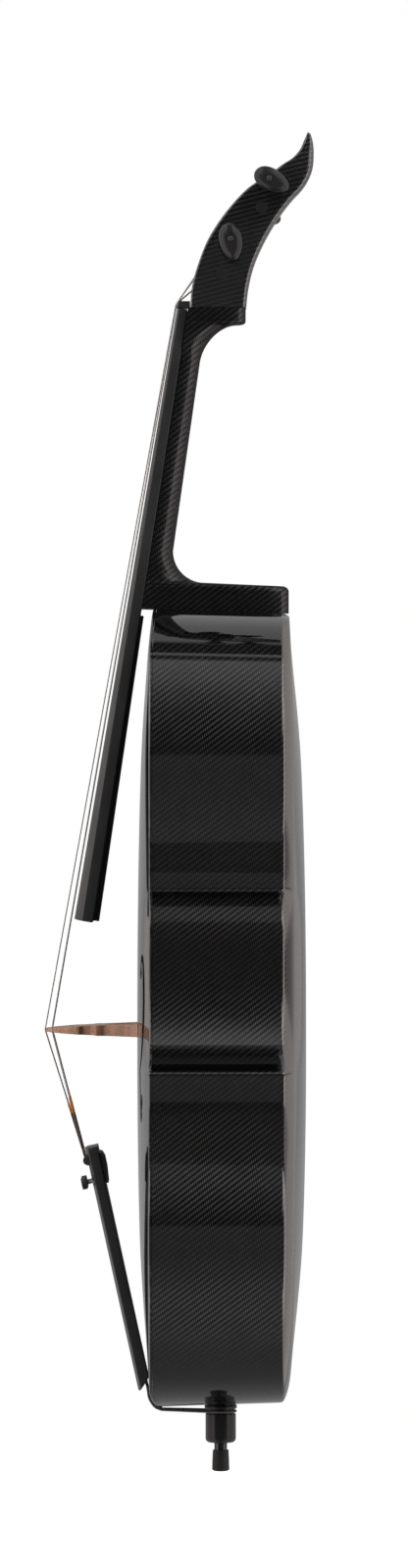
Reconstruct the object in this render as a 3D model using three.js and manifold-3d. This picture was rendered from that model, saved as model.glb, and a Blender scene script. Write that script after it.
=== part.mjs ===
// A full-size cello with a carbon fibre body, as an assembly of its separate pieces.
// Millimetres. +Z runs up the instrument, the strings face -Y and the treble side is +X.
// The origin is the centre of the flat at the bottom of the endpin's rubber tip.

import * as THREE from 'three';
import { mergeVertices } from 'three/addons/utils/BufferGeometryUtils.js';
import Module from 'manifold-3d';

const wasm = await Module();
wasm.setup();

// Fits
const gap = 0.3;            // left between pieces that touch or are bonded
const overrun = 3;          // how far a cutting solid passes the face it opens

// Body shell
const bodyBottom = 62;      // height of the shell's lowest point above the endpin's tip
const bodyLength = 752.5;
const lowerBout = 440;      // widths across the outline
const upperBout = 345;
const waist = 236;
const lowerCorner = 360;
const upperCorner = 298;
const frontRim = 67;        // front edge of the plate, in front of the endpin's axis
const backRim = 55.3;       // where the ribs end and the back's rounded edge begins
const backEdgeRise = 9;     // the back's rounded edge rises this far behind the ribs
const ribDraft = 3.5;       // the shell narrows this much from front to back, on each side
const frontArch = 11.8;
const backArch = 16.4;
const shellWall = 2.6;
const plateThickness = 3.2;
const topEndBend = 3.5;     // the front edge bends back near the top and the bottom
const topEndBendLength = 50;
const bottomEndBend = 9;
const bottomEndBendLength = 28;
const heelSeat = 68;        // straight part of the outline under the neck's heel

// Sound holes
const soundHoleLength = 150;
const soundHoleSpread = 190;   // between the middles of the two stems
const soundHoleWidth = 12;
const soundHoleHeight = 350;   // middle of the stems above the shell's bottom
const upperEyeRadius = 6;
const lowerEyeRadius = 7.5;

// Bridge
const bridgeHeight = 86;       // above the middle of the front arch
const bridgePlace = 355.6;     // above the shell's bottom
const bridgeThickTop = 2.8;
const bridgeThickMiddle = 9.2;
const bridgeThickFoot = 12.8;
const bridgeFootSpread = 94;

// Inside the shell
const soundpostRadius = 5.5;
const soundpostX = 37;
const soundpostBehind = 20;    // below the bridge
const bassBarX = 31;
const bassBarLength = 560;
const bassBarThickness = 10;
const bassBarDepth = 24;
const blockWidth = 70;
const blockHeight = 40;

// Neck
const neckLength = 285;        // from the top of the shell to the seam under the head
const neckThickness = 18.8;
const heelThickness = 21;
const neckWidth = 29;
const heelWidth = 44;
const heelFlare = 2;           // wider still where it sits on the shell
const heelThroat = 40;         // width where the neck meets the heel
const heelHeight = 25.5;       // the heel's top above the shell
const heelFillet = 30;
const heelTopSlope = 3.7;
const shoulderDepth = 54.2;    // front to back, under the head
const shoulderHeight = 15;
const shoulderCurve = 36;

// Head
const headHeight = 166.8;
const headWidth = 46;
const headSetback = 2;         // behind the neck's front face
const cheek = 7.5;
const pegboxBack = 8;

// Fingerboard and nut
const boardToBridge = 104.8;   // the fingerboard ends this far above the bridge
const boardWidthNut = 31;
const boardWidthEnd = 63;
const boardSideNut = 10.2;     // crown to underside
const boardSideEnd = 18;
const boardRadius = 62;
const spineWidthNeck = 30;
const spineWidthEnd = 40;
const spineDepthNeck = 3;
const spineDepthEnd = 5.4;
const spineShort = 2;
const nutReach = 41.2;         // crown of the fingerboard at the nut, in front of the endpin's axis
const nutHeight = 6.4;
const nutRise = 0.6;
const nutRound = 1.4;

// Strings
const stringRunOverBoard = 7.6;    // between the fingerboard's end and the middle strings
const stringSpreadNut = 22;
const stringSpreadBridge = 47;
const stringSpreadTail = 45;
const outerStringDrop = 6.5;       // how much lower the outer strings cross the bridge
const stringDiameters = { a: 0.8, d: 1, g: 1.2, c: 1.7 };
const turnGap = 0.6;               // between neighbouring turns on a peg
const pegTurns = 3;

// Pegs
const pegRadius = 6.1;             // at the collar
const pegEndRadius = 5.4;
const pegCollarRadius = 8.5;
const pegCollarLength = 5;
const pegHeadLength = 27;
const pegHeadLong = 34.7;
const pegHeadShort = 21;
const pegNeckRadius = 5;
const pipRadius = 2.7;

// Tailpiece, in its own leaning frame
const tailLean = 12.4;             // degrees
const tailTipY = -77.9;
const tailTipZ = 77;
const tailLength = 234.5;
const tailWidthTop = 61;
const tailWidthBottom = 30;
const tailThickness = 12.4;
const tailCrown = 2.6;
const tailEndBevel = 9.5;
const tunerPlace = 32.2;           // screws below the tailpiece's top
const axlePlace = 10.9;            // lever axle below the tailpiece's top
const axleDepth = 5.5;             // lever axle behind the tailpiece's front
const axleRadius = 1.5;
const leverWidth = 5.6;
const leverNose = 5.2;
const leverArmThickness = 3.8;
const slotClearance = 0.5;
const slotBehind = 1.2;            // room behind the string for the lever to turn
const knobRadius = 5.5;
const knobLength = 5;
const stemRadius = 1.4;
const stemShown = 4.6;             // free length between knob and tailpiece
const leverClearance = 0.5;        // between the resting lever and the screw's tip
const ballRadius = 2.4;

// Tail cord and saddle
const cordRadius = 1.25;
const cordSpread = 12;
const saddleWidth = 34;
const saddleThickness = 1.3;
const saddleLength = 17;

// Endpin
const rodRadius = 6;
const rodLength = 470;
const rodChamfer = 1;
const tipLength = 20.3;
const tipTopRadius = 7.5;
const tipRadius = 8.3;
const tipDome = 2.2;
const tipFlat = 4;
const tipWall = 9;
const collarBottom = 27.3;
const collarTop = 54.6;
const collarRadius = 14.4;
const collarRound = 4;
const flangeRadius = 15.3;
const flangeBottom = 59.2;
const flangeTop = 63;
const grooveRadius = 12.4;
const socketRadius = 12.4;
const socketLength = 42;
const colletLength = 20;
const colletWall = 2.6;
const colletSlit = 1.2;

// How finely round stretches are stepped
const boutSteps = 8;
const cornerSteps = 5;
const roundSteps = 16;
const smallSteps = 10;
const turnSteps = 20;
const cordSides = 6;

const degree = Math.PI / 180;
const bodyTop = bodyBottom + bodyLength;

// Solids

function signedVolume(points, faces) {
  let six = 0;
  const cross = new THREE.Vector3();
  for (const [a, b, c] of faces) {
    six += points[a].dot(cross.crossVectors(points[b], points[c]));
  }
  return six;
}

function geometryOf(points, faces) {
  const outward = signedVolume(points, faces) > 0;
  const geometry = new THREE.BufferGeometry();
  const positions = points.flatMap((point) => [point.x, point.y, point.z]);
  geometry.setAttribute('position', new THREE.Float32BufferAttribute(positions, 3));
  geometry.setIndex(faces.flatMap(([a, b, c]) => (outward ? [a, b, c] : [a, c, b])));
  geometry.computeVertexNormals();
  return geometry;
}

// Cap of a ring that is symmetric about x = 0: rungs between each point and its mirror image.
function ladderCap(count) {
  const faces = [];
  for (let i = 0; i < count / 2; i += 1) {
    const [near, next] = [i, i + 1];
    const [mirrorNear, mirrorNext] = [(count - i) % count, count - i - 1];
    if (near !== mirrorNear) {
      faces.push([near, next, mirrorNear]);
    }
    if (next !== mirrorNext) {
      faces.push([next, mirrorNext, mirrorNear]);
    }
  }
  return faces;
}

// Cap of a flat ring of any outline, seen along the axis named.
function flatCap(ring, axis) {
  const [u, v] = { x: ['y', 'z'], y: ['x', 'z'], z: ['x', 'y'] }[axis];
  const flat = ring.map((point) => new THREE.Vector2(point[u], point[v]));
  return THREE.ShapeUtils.triangulateShape(flat, []);
}

// Closed solid through rings of equally many points. Without an axis the ends are rung across.
function loft(rings, axis) {
  const count = rings[0].length;
  const points = rings.flat();
  const faces = [];
  for (let r = 0; r + 1 < rings.length; r += 1) {
    for (let i = 0; i < count; i += 1) {
      const a = r * count + i;
      const b = r * count + ((i + 1) % count);
      faces.push([a, b, a + count], [b, b + count, a + count]);
    }
  }
  const last = (rings.length - 1) * count;
  const startCap = axis ? flatCap(rings[0], axis) : ladderCap(count);
  const endCap = axis ? flatCap(rings.at(-1), axis) : ladderCap(count);
  const clockwise = axis ? capTurn(rings[0], startCap, axis) : 1;
  const startFaces = startCap.map(([a, b, c]) => (clockwise > 0 ? [a, c, b] : [a, b, c]));
  const endFaces = endCap.map(([a, b, c]) => (clockwise > 0 ? [a, b, c] : [a, c, b]));
  faces.push(...startFaces, ...endFaces.map((face) => face.map((index) => index + last)));
  return geometryOf(points, faces);
}

// Whether a flat cap's triangles run with the ring (1) or against it (-1).
function capTurn(ring, cap, axis) {
  const [u, v] = { x: ['y', 'z'], y: ['x', 'z'], z: ['x', 'y'] }[axis];
  const flat = ring.map((point) => new THREE.Vector2(point[u], point[v]));
  const [a, b, c] = cap[0].map((index) => flat[index]);
  const capArea = (b.x - a.x) * (c.y - a.y) - (c.x - a.x) * (b.y - a.y);
  return Math.sign(capArea) * Math.sign(THREE.ShapeUtils.area(flat));
}

// Round bar along a path of points, with flat ends.
function tube(path, radius, sides) {
  const rings = [];
  let normal = null;
  path.forEach((point, i) => {
    const before = path[Math.max(i - 1, 0)];
    const after = path[Math.min(i + 1, path.length - 1)];
    const heading = new THREE.Vector3().subVectors(after, before).normalize();
    if (!normal) {
      const across = Math.abs(heading.x) < 0.9 ? new THREE.Vector3(1, 0, 0) : new THREE.Vector3(0, 1, 0);
      normal = across.addScaledVector(heading, -across.dot(heading)).normalize();
    } else {
      normal = normal.clone().addScaledVector(heading, -normal.dot(heading)).normalize();
    }
    const side = new THREE.Vector3().crossVectors(heading, normal);
    const into = new THREE.Vector3().subVectors(point, before).normalize();
    const bend = i > 0 && i + 1 < path.length ? Math.max(into.dot(heading), 0.7) : 1;
    const ring = [];
    for (let k = 0; k < sides; k += 1) {
      const angle = (k / sides) * Math.PI * 2;
      const offset = normal.clone().multiplyScalar(Math.cos(angle));
      offset.addScaledVector(side, Math.sin(angle));
      const turnAxis = new THREE.Vector3().subVectors(heading, into);
      if (bend < 1 && turnAxis.lengthSq() > 0) {
        turnAxis.addScaledVector(heading, -turnAxis.dot(heading)).normalize();
        offset.addScaledVector(turnAxis, offset.dot(turnAxis) * (1 / bend - 1));
      }
      ring.push(point.clone().addScaledVector(offset, radius));
    }
    rings.push(ring);
  });
  const count = sides;
  const points = rings.flat();
  const faces = [];
  for (let r = 0; r + 1 < rings.length; r += 1) {
    for (let k = 0; k < count; k += 1) {
      const a = r * count + k;
      const b = r * count + ((k + 1) % count);
      faces.push([a, b, a + count], [b, b + count, a + count]);
    }
  }
  const last = (rings.length - 1) * count;
  for (let k = 1; k + 1 < count; k += 1) {
    faces.push([0, k + 1, k], [last, last + k, last + k + 1]);
  }
  return geometryOf(points, faces);
}

// Solid of revolution about an axis, from a profile of [radius, height] pairs.
function turned(profile, steps, axis = 'z') {
  const outline = profile.map(([radius, height]) => new THREE.Vector2(radius, height));
  const geometry = new THREE.LatheGeometry(outline, steps);
  if (axis === 'z') {
    geometry.rotateX(Math.PI / 2);
  } else if (axis === 'x') {
    geometry.rotateZ(-Math.PI / 2);
  }
  return geometry;
}

function block(low, high) {
  const size = new THREE.Vector3().subVectors(high, low);
  const geometry = new THREE.BoxGeometry(size.x, size.y, size.z);
  const middle = new THREE.Vector3().addVectors(low, high).multiplyScalar(0.5);
  return geometry.translate(middle.x, middle.y, middle.z);
}

function solidOf(geometry) {
  const bare = geometry.clone();
  bare.deleteAttribute('normal');
  bare.deleteAttribute('uv');
  const merged = mergeVertices(bare.index ? bare : mergeVertices(bare));
  const index = merged.index.array;
  const kept = [];
  for (let i = 0; i < index.length; i += 3) {
    const [a, b, c] = index.slice(i, i + 3);
    if (a !== b && b !== c && c !== a) {
      kept.push(a, b, c);
    }
  }
  const vertProperties = new Float32Array(merged.attributes.position.array);
  let volume = 0;
  const corner = (i) => new THREE.Vector3().fromArray(vertProperties, i * 3);
  for (let i = 0; i < kept.length; i += 3) {
    const [a, b, c] = kept.slice(i, i + 3).map(corner);
    volume += a.dot(b.cross(c));
  }
  if (volume < 0) {
    kept.reverse();
  }
  return new wasm.Manifold(new wasm.Mesh({ numProp: 3, vertProperties, triVerts: new Uint32Array(kept) }));
}

function geometryOfSolid(solid) {
  const mesh = solid.getMesh();
  const geometry = new THREE.BufferGeometry();
  geometry.setAttribute('position', new THREE.BufferAttribute(mesh.vertProperties, mesh.numProp));
  geometry.setIndex(new THREE.BufferAttribute(mesh.triVerts, 1));
  geometry.computeVertexNormals();
  return geometry;
}

function cut(geometry, tools) {
  const tool = tools.map(solidOf).reduce((all, next) => all.add(next));
  return geometryOfSolid(solidOf(geometry).subtract(tool));
}

function join(geometries) {
  return geometryOfSolid(geometries.map(solidOf).reduce((all, next) => all.add(next)));
}

function common(geometry, other) {
  return geometryOfSolid(solidOf(geometry).intersect(solidOf(other)));
}

// Finishes

const finish = (color, roughness, metalness = 0) => ({ color, roughness, metalness });
const carbon = finish(0x17181a, 0.12);
const composite = finish(0x1b1b1c, 0.55);
const ebony = finish(0x1a1918, 0.45);
const maple = finish(0xb98a5e, 0.6);
const spruce = finish(0xd8bf94, 0.7);
const steel = finish(0x8d8f92, 0.3, 0.9);
const rubber = finish(0x141414, 0.85);

const cello = new THREE.Group();

function piece(name, geometry, look, parent = cello) {
  const mesh = new THREE.Mesh(geometry, new THREE.MeshStandardMaterial(look));
  mesh.name = name;
  parent.add(mesh);
  return mesh;
}

// Body outline: the right half, from the bottom's middle to the top's middle.
// Each stretch is a curve whose points are shares of its own width and of the body's length.

const boutMiddle = 0.226;      // share of the length where the lower bout is widest
const upperMiddle = 0.797;
const stretches = [
  { steps: boutSteps, widthShares: [0, 0.43, 1, 1], lengthShares: [0, 0, 0.073, boutMiddle],
    widths: [lowerBout, lowerBout, lowerBout, lowerBout] },
  { steps: cornerSteps, widthShares: [1, 1, 0.944, 1], lengthShares: [boutMiddle, 0.308, 0.348, 0.422],
    widths: [lowerBout, lowerBout, lowerCorner, lowerCorner] },
  { steps: cornerSteps, widthShares: [0.978, 0.84, 1.02, 1], lengthShares: [0.4295, 0.438, 0.467, 0.537],
    widths: [lowerCorner, lowerCorner, waist, waist] },
  { steps: cornerSteps, widthShares: [1, 0.98, 0.84, 0.974], lengthShares: [0.537, 0.594, 0.63, 0.6465],
    widths: [waist, waist, upperCorner, upperCorner] },
  { steps: cornerSteps, widthShares: [1, 1.01, 1, 1], lengthShares: [0.6545, 0.693, 0.724, upperMiddle],
    widths: [upperCorner, upperCorner, upperBout, upperBout] },
  { steps: boutSteps, widthShares: [1, 1, 0.64, 1], lengthShares: [upperMiddle, 0.916, 0.998, 1],
    widths: [upperBout, upperBout, upperBout, heelSeat] },
];

function halfOutline() {
  const points = [];
  for (const { steps, widthShares, lengthShares, widths } of stretches) {
    const controls = widthShares.map((share, i) => new THREE.Vector2(
      (share * widths[i]) / 2, bodyBottom + lengthShares[i] * bodyLength));
    const stretch = new THREE.CubicBezierCurve(...controls).getPoints(steps);
    const meets = points.length > 0 && stretch[0].distanceTo(points.at(-1)) < gap;
    points.push(...(meets ? stretch.slice(1) : stretch));
  }
  points.push(new THREE.Vector2(0, bodyTop));
  return points;
}

const rightHalf = halfOutline();
const leftHalf = rightHalf.slice(1, -1).reverse().map((point) => new THREE.Vector2(-point.x, point.y));
const outline = [...rightHalf, ...leftHalf];

// Every point of the outline moves in towards the spine, a line up the body's middle.
const spineLow = bodyBottom + boutMiddle * bodyLength;
const spineHigh = bodyBottom + upperMiddle * bodyLength;

function inward(point, inset, share) {
  const middle = new THREE.Vector2(0, THREE.MathUtils.clamp(point.y, spineLow, spineHigh));
  const reach = middle.clone().sub(point);
  const start = point.clone().addScaledVector(reach, inset / reach.length());
  return start.lerp(middle, share);
}

// Rise of an arched plate, as a share of its full arch: along the body and across it.
const archMiddle = 0.47;
const alongPower = 2.3;
const alongFall = 0.8;
const acrossPower = 2.1;

function archShare(z, share) {
  const place = (z - bodyBottom) / bodyLength;
  const reach = place < archMiddle ? archMiddle : 1 - archMiddle;
  const away = Math.min(Math.abs(place - archMiddle) / reach, 1);
  const along = (1 - away ** alongPower) ** alongFall;
  return along * (1 - (1 - share) ** acrossPower);
}

function endBend(z) {
  const fromTop = THREE.MathUtils.clamp(1 - (bodyTop - z) / topEndBendLength, 0, 1);
  const fromBottom = THREE.MathUtils.clamp(1 - (z - bodyBottom) / bottomEndBendLength, 0, 1);
  return topEndBend * fromTop ** 2 + bottomEndBend * fromBottom ** 2;
}

const frontY = (z, share) => endBend(z) - frontRim - frontArch * archShare(z, share);
const backY = (z, share) => backRim + backEdgeRise + backArch * archShare(z, share);

const archShares = [0.12, 0.3, 0.55, 0.82];

function ringAt(inset, share, depthAt) {
  return outline.map((point) => {
    const moved = inward(point, inset, share);
    return new THREE.Vector3(moved.x, depthAt(moved.y, share), moved.y);
  });
}

// Rings of the front face, from near its middle out to its edge, shifted along Y.
function frontRings(inset, shift) {
  const depthAt = (z, share) => frontY(z, share) + shift;
  return [...archShares].reverse().concat(0).map((share) => ringAt(inset, share, depthAt));
}

// Rings of the rounded edge and the back, from the ribs' end to near the middle.
// The edge is a quarter of an ellipse, wide along the bouts and narrow near the heel.
const edgeAngles = [0, 24, 50, 72, 90];
const edgeShare = 0.15;
const heelEdgeShare = 0.02;
const heelEdgeLength = 60;

function roundedShare(z) {
  const away = THREE.MathUtils.clamp((bodyTop - z) / heelEdgeLength, 0, 1);
  return THREE.MathUtils.lerp(heelEdgeShare, edgeShare, away ** 1.5);
}

function backRings(wall) {
  const rise = backEdgeRise - wall;
  const rounded = edgeAngles.map((angle) => outline.map((point) => {
    const share = roundedShare(point.y) * (1 - Math.cos(angle * degree));
    const moved = inward(point, ribDraft + wall, share);
    const depth = backRim + rise * Math.sin(angle * degree) + backArch * archShare(moved.y, share);
    return new THREE.Vector3(moved.x, depth, moved.y);
  }));
  const arched = archShares.slice(1).map((share) => (
    ringAt(ribDraft + wall, share, (z, s) => backY(z, s) - wall)));
  return [...rounded, ...arched];
}

// Front plate, with its two sound holes

const stemShares = [
  [-0.173, 0.407], [-0.163, 0.467], [-0.12, 0.5], [-0.07, 0.467], [-0.043, 0.353], [-0.02, 0.187],
  [0, 0], [0.02, -0.18], [0.047, -0.347], [0.087, -0.46], [0.14, -0.49], [0.18, -0.447], [0.16, -0.387],
];
const stemWidthShares = [0.5, 0.5, 0.6, 0.8, 0.95, 1, 1, 1, 0.95, 0.85, 0.65, 0.55, 0.5];
const stemSteps = 26;

function soundHole(side) {
  const middle = new THREE.Vector2((side * soundHoleSpread) / 2, bodyBottom + soundHoleHeight);
  const at = ([across, up]) => new THREE.Vector2(
    middle.x + side * across * soundHoleLength, middle.y + up * soundHoleLength);
  const stem = new THREE.SplineCurve(stemShares.map(at));
  const widths = new THREE.SplineCurve(stemWidthShares.map((share, i) => new THREE.Vector2(i, share)));
  const edges = [[], []];
  for (let i = 0; i <= stemSteps; i += 1) {
    const t = i / stemSteps;
    const point = stem.getPoint(t);
    const across = stem.getTangent(t).rotateAround(new THREE.Vector2(), Math.PI / 2);
    const half = (widths.getPoint(t).y * soundHoleWidth) / 2;
    edges[0].push(point.clone().addScaledVector(across, half));
    edges[1].unshift(point.clone().addScaledVector(across, -half));
  }
  const depth = frontRim + frontArch + overrun;
  const ringOf = (y) => edges.flat().map((point) => new THREE.Vector3(point.x, y, point.y));
  const eyes = [[stemShares[0], upperEyeRadius], [stemShares.at(-1), lowerEyeRadius]];
  const holes = eyes.map(([place, radius]) => {
    const eye = turned([[0, 0], [radius, 0], [radius, frontRim], [0, frontRim]], roundSteps, 'y');
    return eye.translate(at(place).x, -depth, at(place).y);
  });
  return [loft([ringOf(-depth), ringOf(frontRim - depth)], 'y'), ...holes];
}

function makePlate() {
  const inner = frontRings(plateThickness / 2, plateThickness).reverse();
  const edge = ringAt(0, 0, (z, share) => frontY(z, share) + plateThickness / 2);
  const low = ringAt(0, 0, (z, share) => frontY(z, share) + plateThickness);
  const outer = frontRings(plateThickness / 2, 0);
  const plate = loft([...outer, edge, low, ...inner]);
  return cut(plate, [...soundHole(-1), ...soundHole(1)]);
}

// Ribs and back, moulded as one tub

const seam = (z, share) => frontY(z, 0) + plateThickness + gap + share;

function makeTub() {
  const outer = [ringAt(0, 0, seam), ...backRings(0)].reverse();
  const inner = [ringAt(shellWall, 0, seam), ...backRings(shellWall)];
  const hole = turned([
    [0, bodyBottom - overrun], [socketRadius + gap, bodyBottom - overrun],
    [socketRadius + gap, bodyBottom + overrun + ribDraft + shellWall],
    [0, bodyBottom + overrun + ribDraft + shellWall]], roundSteps);
  return cut(loft([...outer, ...inner]), [hole]);
}

// The room inside the shell, a gap smaller than it all round, and the shell's front a gap larger.
function roomInside() {
  const inset = shellWall + gap;
  const underPlate = loft([
    ...frontRings(plateThickness / 2, plateThickness + gap), ringAt(0, 0, () => backRim * 2)]);
  const inTub = loft([ringAt(inset, 0, () => -frontRim - frontArch * 2), ...backRings(inset)]);
  return common(underPlate, inTub);
}

function bodyFront() {
  const behind = ringAt(0, 0, () => 0);
  return loft([...frontRings(0, -gap), behind]);
}

const room = roomInside();

// Pieces inside the shell

function makeSoundpost() {
  const z = bodyBottom + bridgePlace - soundpostBehind;
  const reach = backRim + backEdgeRise + backArch + frontRim + frontArch;
  const post = turned([[0, 0], [soundpostRadius, 0], [soundpostRadius, reach], [0, reach]], smallSteps, 'y');
  post.translate(soundpostX, -frontRim - frontArch, z);
  return common(post, room);
}

const barDepthShares = [[0, 0.25], [0.2, 0.62], [0.5, 1], [0.8, 0.62], [1, 0.25]];
const barPlace = 0.45;         // middle of the bar, as a share of the body's length
const barTilt = 1.6;           // degrees, along the strings

function makeBassBar() {
  const lowest = bodyBottom + barPlace * bodyLength - bassBarLength / 2;
  const rings = barDepthShares.map(([place, share]) => {
    const z = lowest + place * bassBarLength;
    const x = -bassBarX - (0.5 - place) * bassBarLength * Math.tan(barTilt * degree);
    const under = frontY(z, 1) + plateThickness;
    const deep = under + bassBarDepth * share;
    return [
      new THREE.Vector3(x - bassBarThickness / 2, under - overrun, z),
      new THREE.Vector3(x + bassBarThickness / 2, under - overrun, z),
      new THREE.Vector3(x + bassBarThickness / 2, deep, z),
      new THREE.Vector3(x - bassBarThickness / 2, deep, z),
    ];
  });
  return common(loft(rings, 'z'), room);
}

function makeBlock(low, high) {
  const half = blockWidth / 2;
  const depth = new THREE.Vector3(0, backRim, 0);
  const front = new THREE.Vector3(0, -frontRim + bottomEndBend, 0);
  const box = block(
    new THREE.Vector3(-half, front.y, low), new THREE.Vector3(half, depth.y, high));
  return common(box, room);
}

function makeEndBlock() {
  const top = bodyBottom + blockHeight;
  const socket = turned([
    [0, bodyBottom], [socketRadius + gap, bodyBottom],
    [socketRadius + gap, top + overrun], [0, top + overrun],
  ], roundSteps);
  return cut(makeBlock(bodyBottom, top), [socket]);
}

// Strings: the line of each from nut to bridge fixes the fingerboard's slope

const bridgeZ = bodyBottom + bridgePlace;
const bridgeTopY = frontY(bridgeZ, 1) - bridgeHeight;
const seamZ = bodyTop + neckLength;
const boardEndZ = bridgeZ + boardToBridge;
const stringSlope = (-nutReach - nutRise - bridgeTopY) / (seamZ - bridgeZ);
const crownEndY = -nutReach - nutRise - stringSlope * (seamZ - boardEndZ) + stringRunOverBoard;
const boardSlope = Math.atan2(-nutReach - crownEndY, seamZ - boardEndZ);
const boardLength = (seamZ - boardEndZ) / Math.cos(boardSlope);

// Directions along the fingerboard, towards the bridge, and out of its face.
const boardAlong = new THREE.Vector3(0, -Math.sin(boardSlope), -Math.cos(boardSlope));
const boardOut = new THREE.Vector3(0, -Math.cos(boardSlope), Math.sin(boardSlope));
const crownStart = new THREE.Vector3(0, -nutReach, seamZ - gap);

function boardPoint(place, x, rise) {
  const point = crownStart.clone().addScaledVector(boardAlong, place).addScaledVector(boardOut, rise);
  return point.setX(x);
}

const sagitta = (x) => (x * x) / (2 * boardRadius);
const boardSide = (place) => THREE.MathUtils.lerp(boardSideNut, boardSideEnd, place / boardLength);
const boardHalf = (place) => THREE.MathUtils.lerp(boardWidthNut, boardWidthEnd, place / boardLength) / 2;

// Mirrors the right half of a ring, whose first and last points lie on x = 0.
function mirrored(half) {
  const left = half.slice(1, -1).reverse().map((point) => point.clone().setX(-point.x));
  return [...half, ...left];
}

const crownShares = [0, 0.35, 0.7, 0.96];
const boardEdge = 1.2;

function boardRing(place) {
  const half = boardHalf(place);
  const crown = crownShares.map((share) => boardPoint(place, share * half, -sagitta(share * half)));
  const side = boardPoint(place, half, -sagitta(half) - boardEdge);
  const low = boardPoint(place, half, -boardSide(place));
  return mirrored([...crown, side, low, boardPoint(place, 0, -boardSide(place))]);
}

// Under the board, past the neck's end, runs a spine that stiffens its free length.
const neckEndPlace = (seamZ - bodyTop) / Math.cos(boardSlope);
const spineStart = neckEndPlace + overrun;

function makeSpine() {
  const places = [spineStart, boardLength - spineShort];
  const rings = places.map((place, i) => {
    const half = [spineWidthNeck, spineWidthEnd][i] / 2;
    const depth = [spineDepthNeck, spineDepthEnd][i];
    const under = -boardSide(place);
    return mirrored([
      boardPoint(place, 0, under + boardEdge),
      boardPoint(place, half, under + boardEdge),
      boardPoint(place, half - depth / 3, under - depth * 0.8),
      boardPoint(place, half - depth, under - depth),
      boardPoint(place, 0, under - depth),
    ]);
  });
  return loft(rings);
}

function makeFingerboard() {
  const places = [0, 0.33, 0.67, 1].map((share) => share * boardLength);
  return join([loft(places.map(boardRing)), makeSpine()]);
}

// Neck, shoulder and heel as one lofted moulding

const neckTopZ = seamZ - gap;

function neckFrontY(z) {
  const place = (crownStart.z - z) / Math.cos(boardSlope);
  const under = boardPoint(place, 0, -boardSide(place) - gap);
  const slope = (boardSideEnd - boardSideNut) / boardLength;
  return under.y - (under.z - z) * Math.tan(boardSlope - Math.atan(slope));
}

const heelBackY = backRim + backEdgeRise;
const heelTopZ = bodyTop + heelHeight;
const seamTopY = frontY(bodyTop, 0) + plateThickness + gap;
const seatShare = ribDraft / (backRim - seamTopY);

// Shares: place between the seam and the shell, depth from neck back to shoulder or heel, fullness.
function neckStations() {
  const stations = [];
  const quarter = [0, 0.25, 0.5, 0.75, 1];
  const shoulderZ = neckTopZ - shoulderHeight;
  const shoulderBack = neckFrontY(neckTopZ) + shoulderDepth;
  const gripTop = shoulderZ - shoulderCurve;
  const gripBack = (z) => neckFrontY(z) + THREE.MathUtils.mapLinear(
    z, gripTop, heelTopZ + heelFillet, neckThickness, heelThickness);
  stations.push({ z: neckTopZ, back: shoulderBack, width: headWidth, fullness: 5 });
  stations.push({ z: shoulderZ + shoulderHeight * 0.25, back: shoulderBack, width: headWidth, fullness: 5 });
  stations.push({ z: shoulderZ + shoulderHeight * 0.08, back: shoulderBack - 0.05 * shoulderDepth,
    width: headWidth * 0.98, fullness: 4.5 });
  for (const share of quarter) {
    const angle = share * 90 * degree;
    const reach = 1 - Math.sin(angle);
    const drop = 1 - Math.cos(angle);
    const z = shoulderZ - shoulderCurve * drop;
    const back = gripBack(z) + (shoulderBack - 0.12 * shoulderDepth - gripBack(z)) * reach;
    const fall = THREE.MathUtils.smoothstep(drop, 0, 1);
    const width = THREE.MathUtils.lerp(headWidth * 0.97, neckWidth, fall);
    stations.push({ z, back, width, fullness: 2.2 + 2.2 * reach });
  }
  const gripBottom = heelTopZ + heelFillet;
  for (const share of [0.3, 0.65, 1]) {
    const z = THREE.MathUtils.lerp(gripTop, gripBottom, share);
    const width = THREE.MathUtils.lerp(neckWidth, heelThroat, share);
    stations.push({ z, back: gripBack(z), width, fullness: 2.2 });
  }
  for (const share of quarter.slice(1)) {
    const angle = share * 90 * degree;
    const z = gripBottom - heelFillet * Math.sin(angle);
    const back = gripBack(gripBottom) + heelFillet * (1 - Math.cos(angle));
    const width = THREE.MathUtils.lerp(heelThroat, heelWidth, share);
    stations.push({ z, back, width, fullness: 2.2 + 0.3 * share });
  }
  const edge = heelTopSlope;
  stations.push({ z: heelTopZ - edge * 0.9, back: heelBackY - edge * 1.6, width: heelWidth, fullness: 3.2 });
  stations.push({ z: heelTopZ - edge * 1.5, back: heelBackY - edge * 0.35, width: heelWidth, fullness: 4 });
  stations.push({ z: heelTopZ - edge * 2.3, back: heelBackY, width: heelWidth + heelFlare / 2, fullness: 5 });
  const seatWidth = heelWidth + heelFlare;
  stations.push({ z: bodyTop + gap, back: heelBackY, width: seatWidth, fullness: 5, seated: true });
  return stations;
}

const neckAngles = [0, 12, 30, 48, 66, 80, 90];

function neckRing({ z, back, width, fullness, seated }) {
  const front = neckFrontY(z);
  const half = neckAngles.map((angle) => {
    const x = (width / 2) * Math.cos(angle * degree) ** (2 / fullness);
    const y = front + (back - front) * Math.sin(angle * degree) ** (2 / fullness);
    return new THREE.Vector3(angle === 90 ? 0 : x, y, z);
  });
  const ring = mirrored([new THREE.Vector3(0, front, z), ...half]);
  if (seated) {
    ring.forEach((point) => {
      point.z -= (point.y - seamTopY) * seatShare;
    });
  }
  return ring;
}

function makeNeck() {
  return loft(neckStations().map(neckRing));
}

// Head: sections between a front edge and a back edge, hollowed into a pegbox

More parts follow.
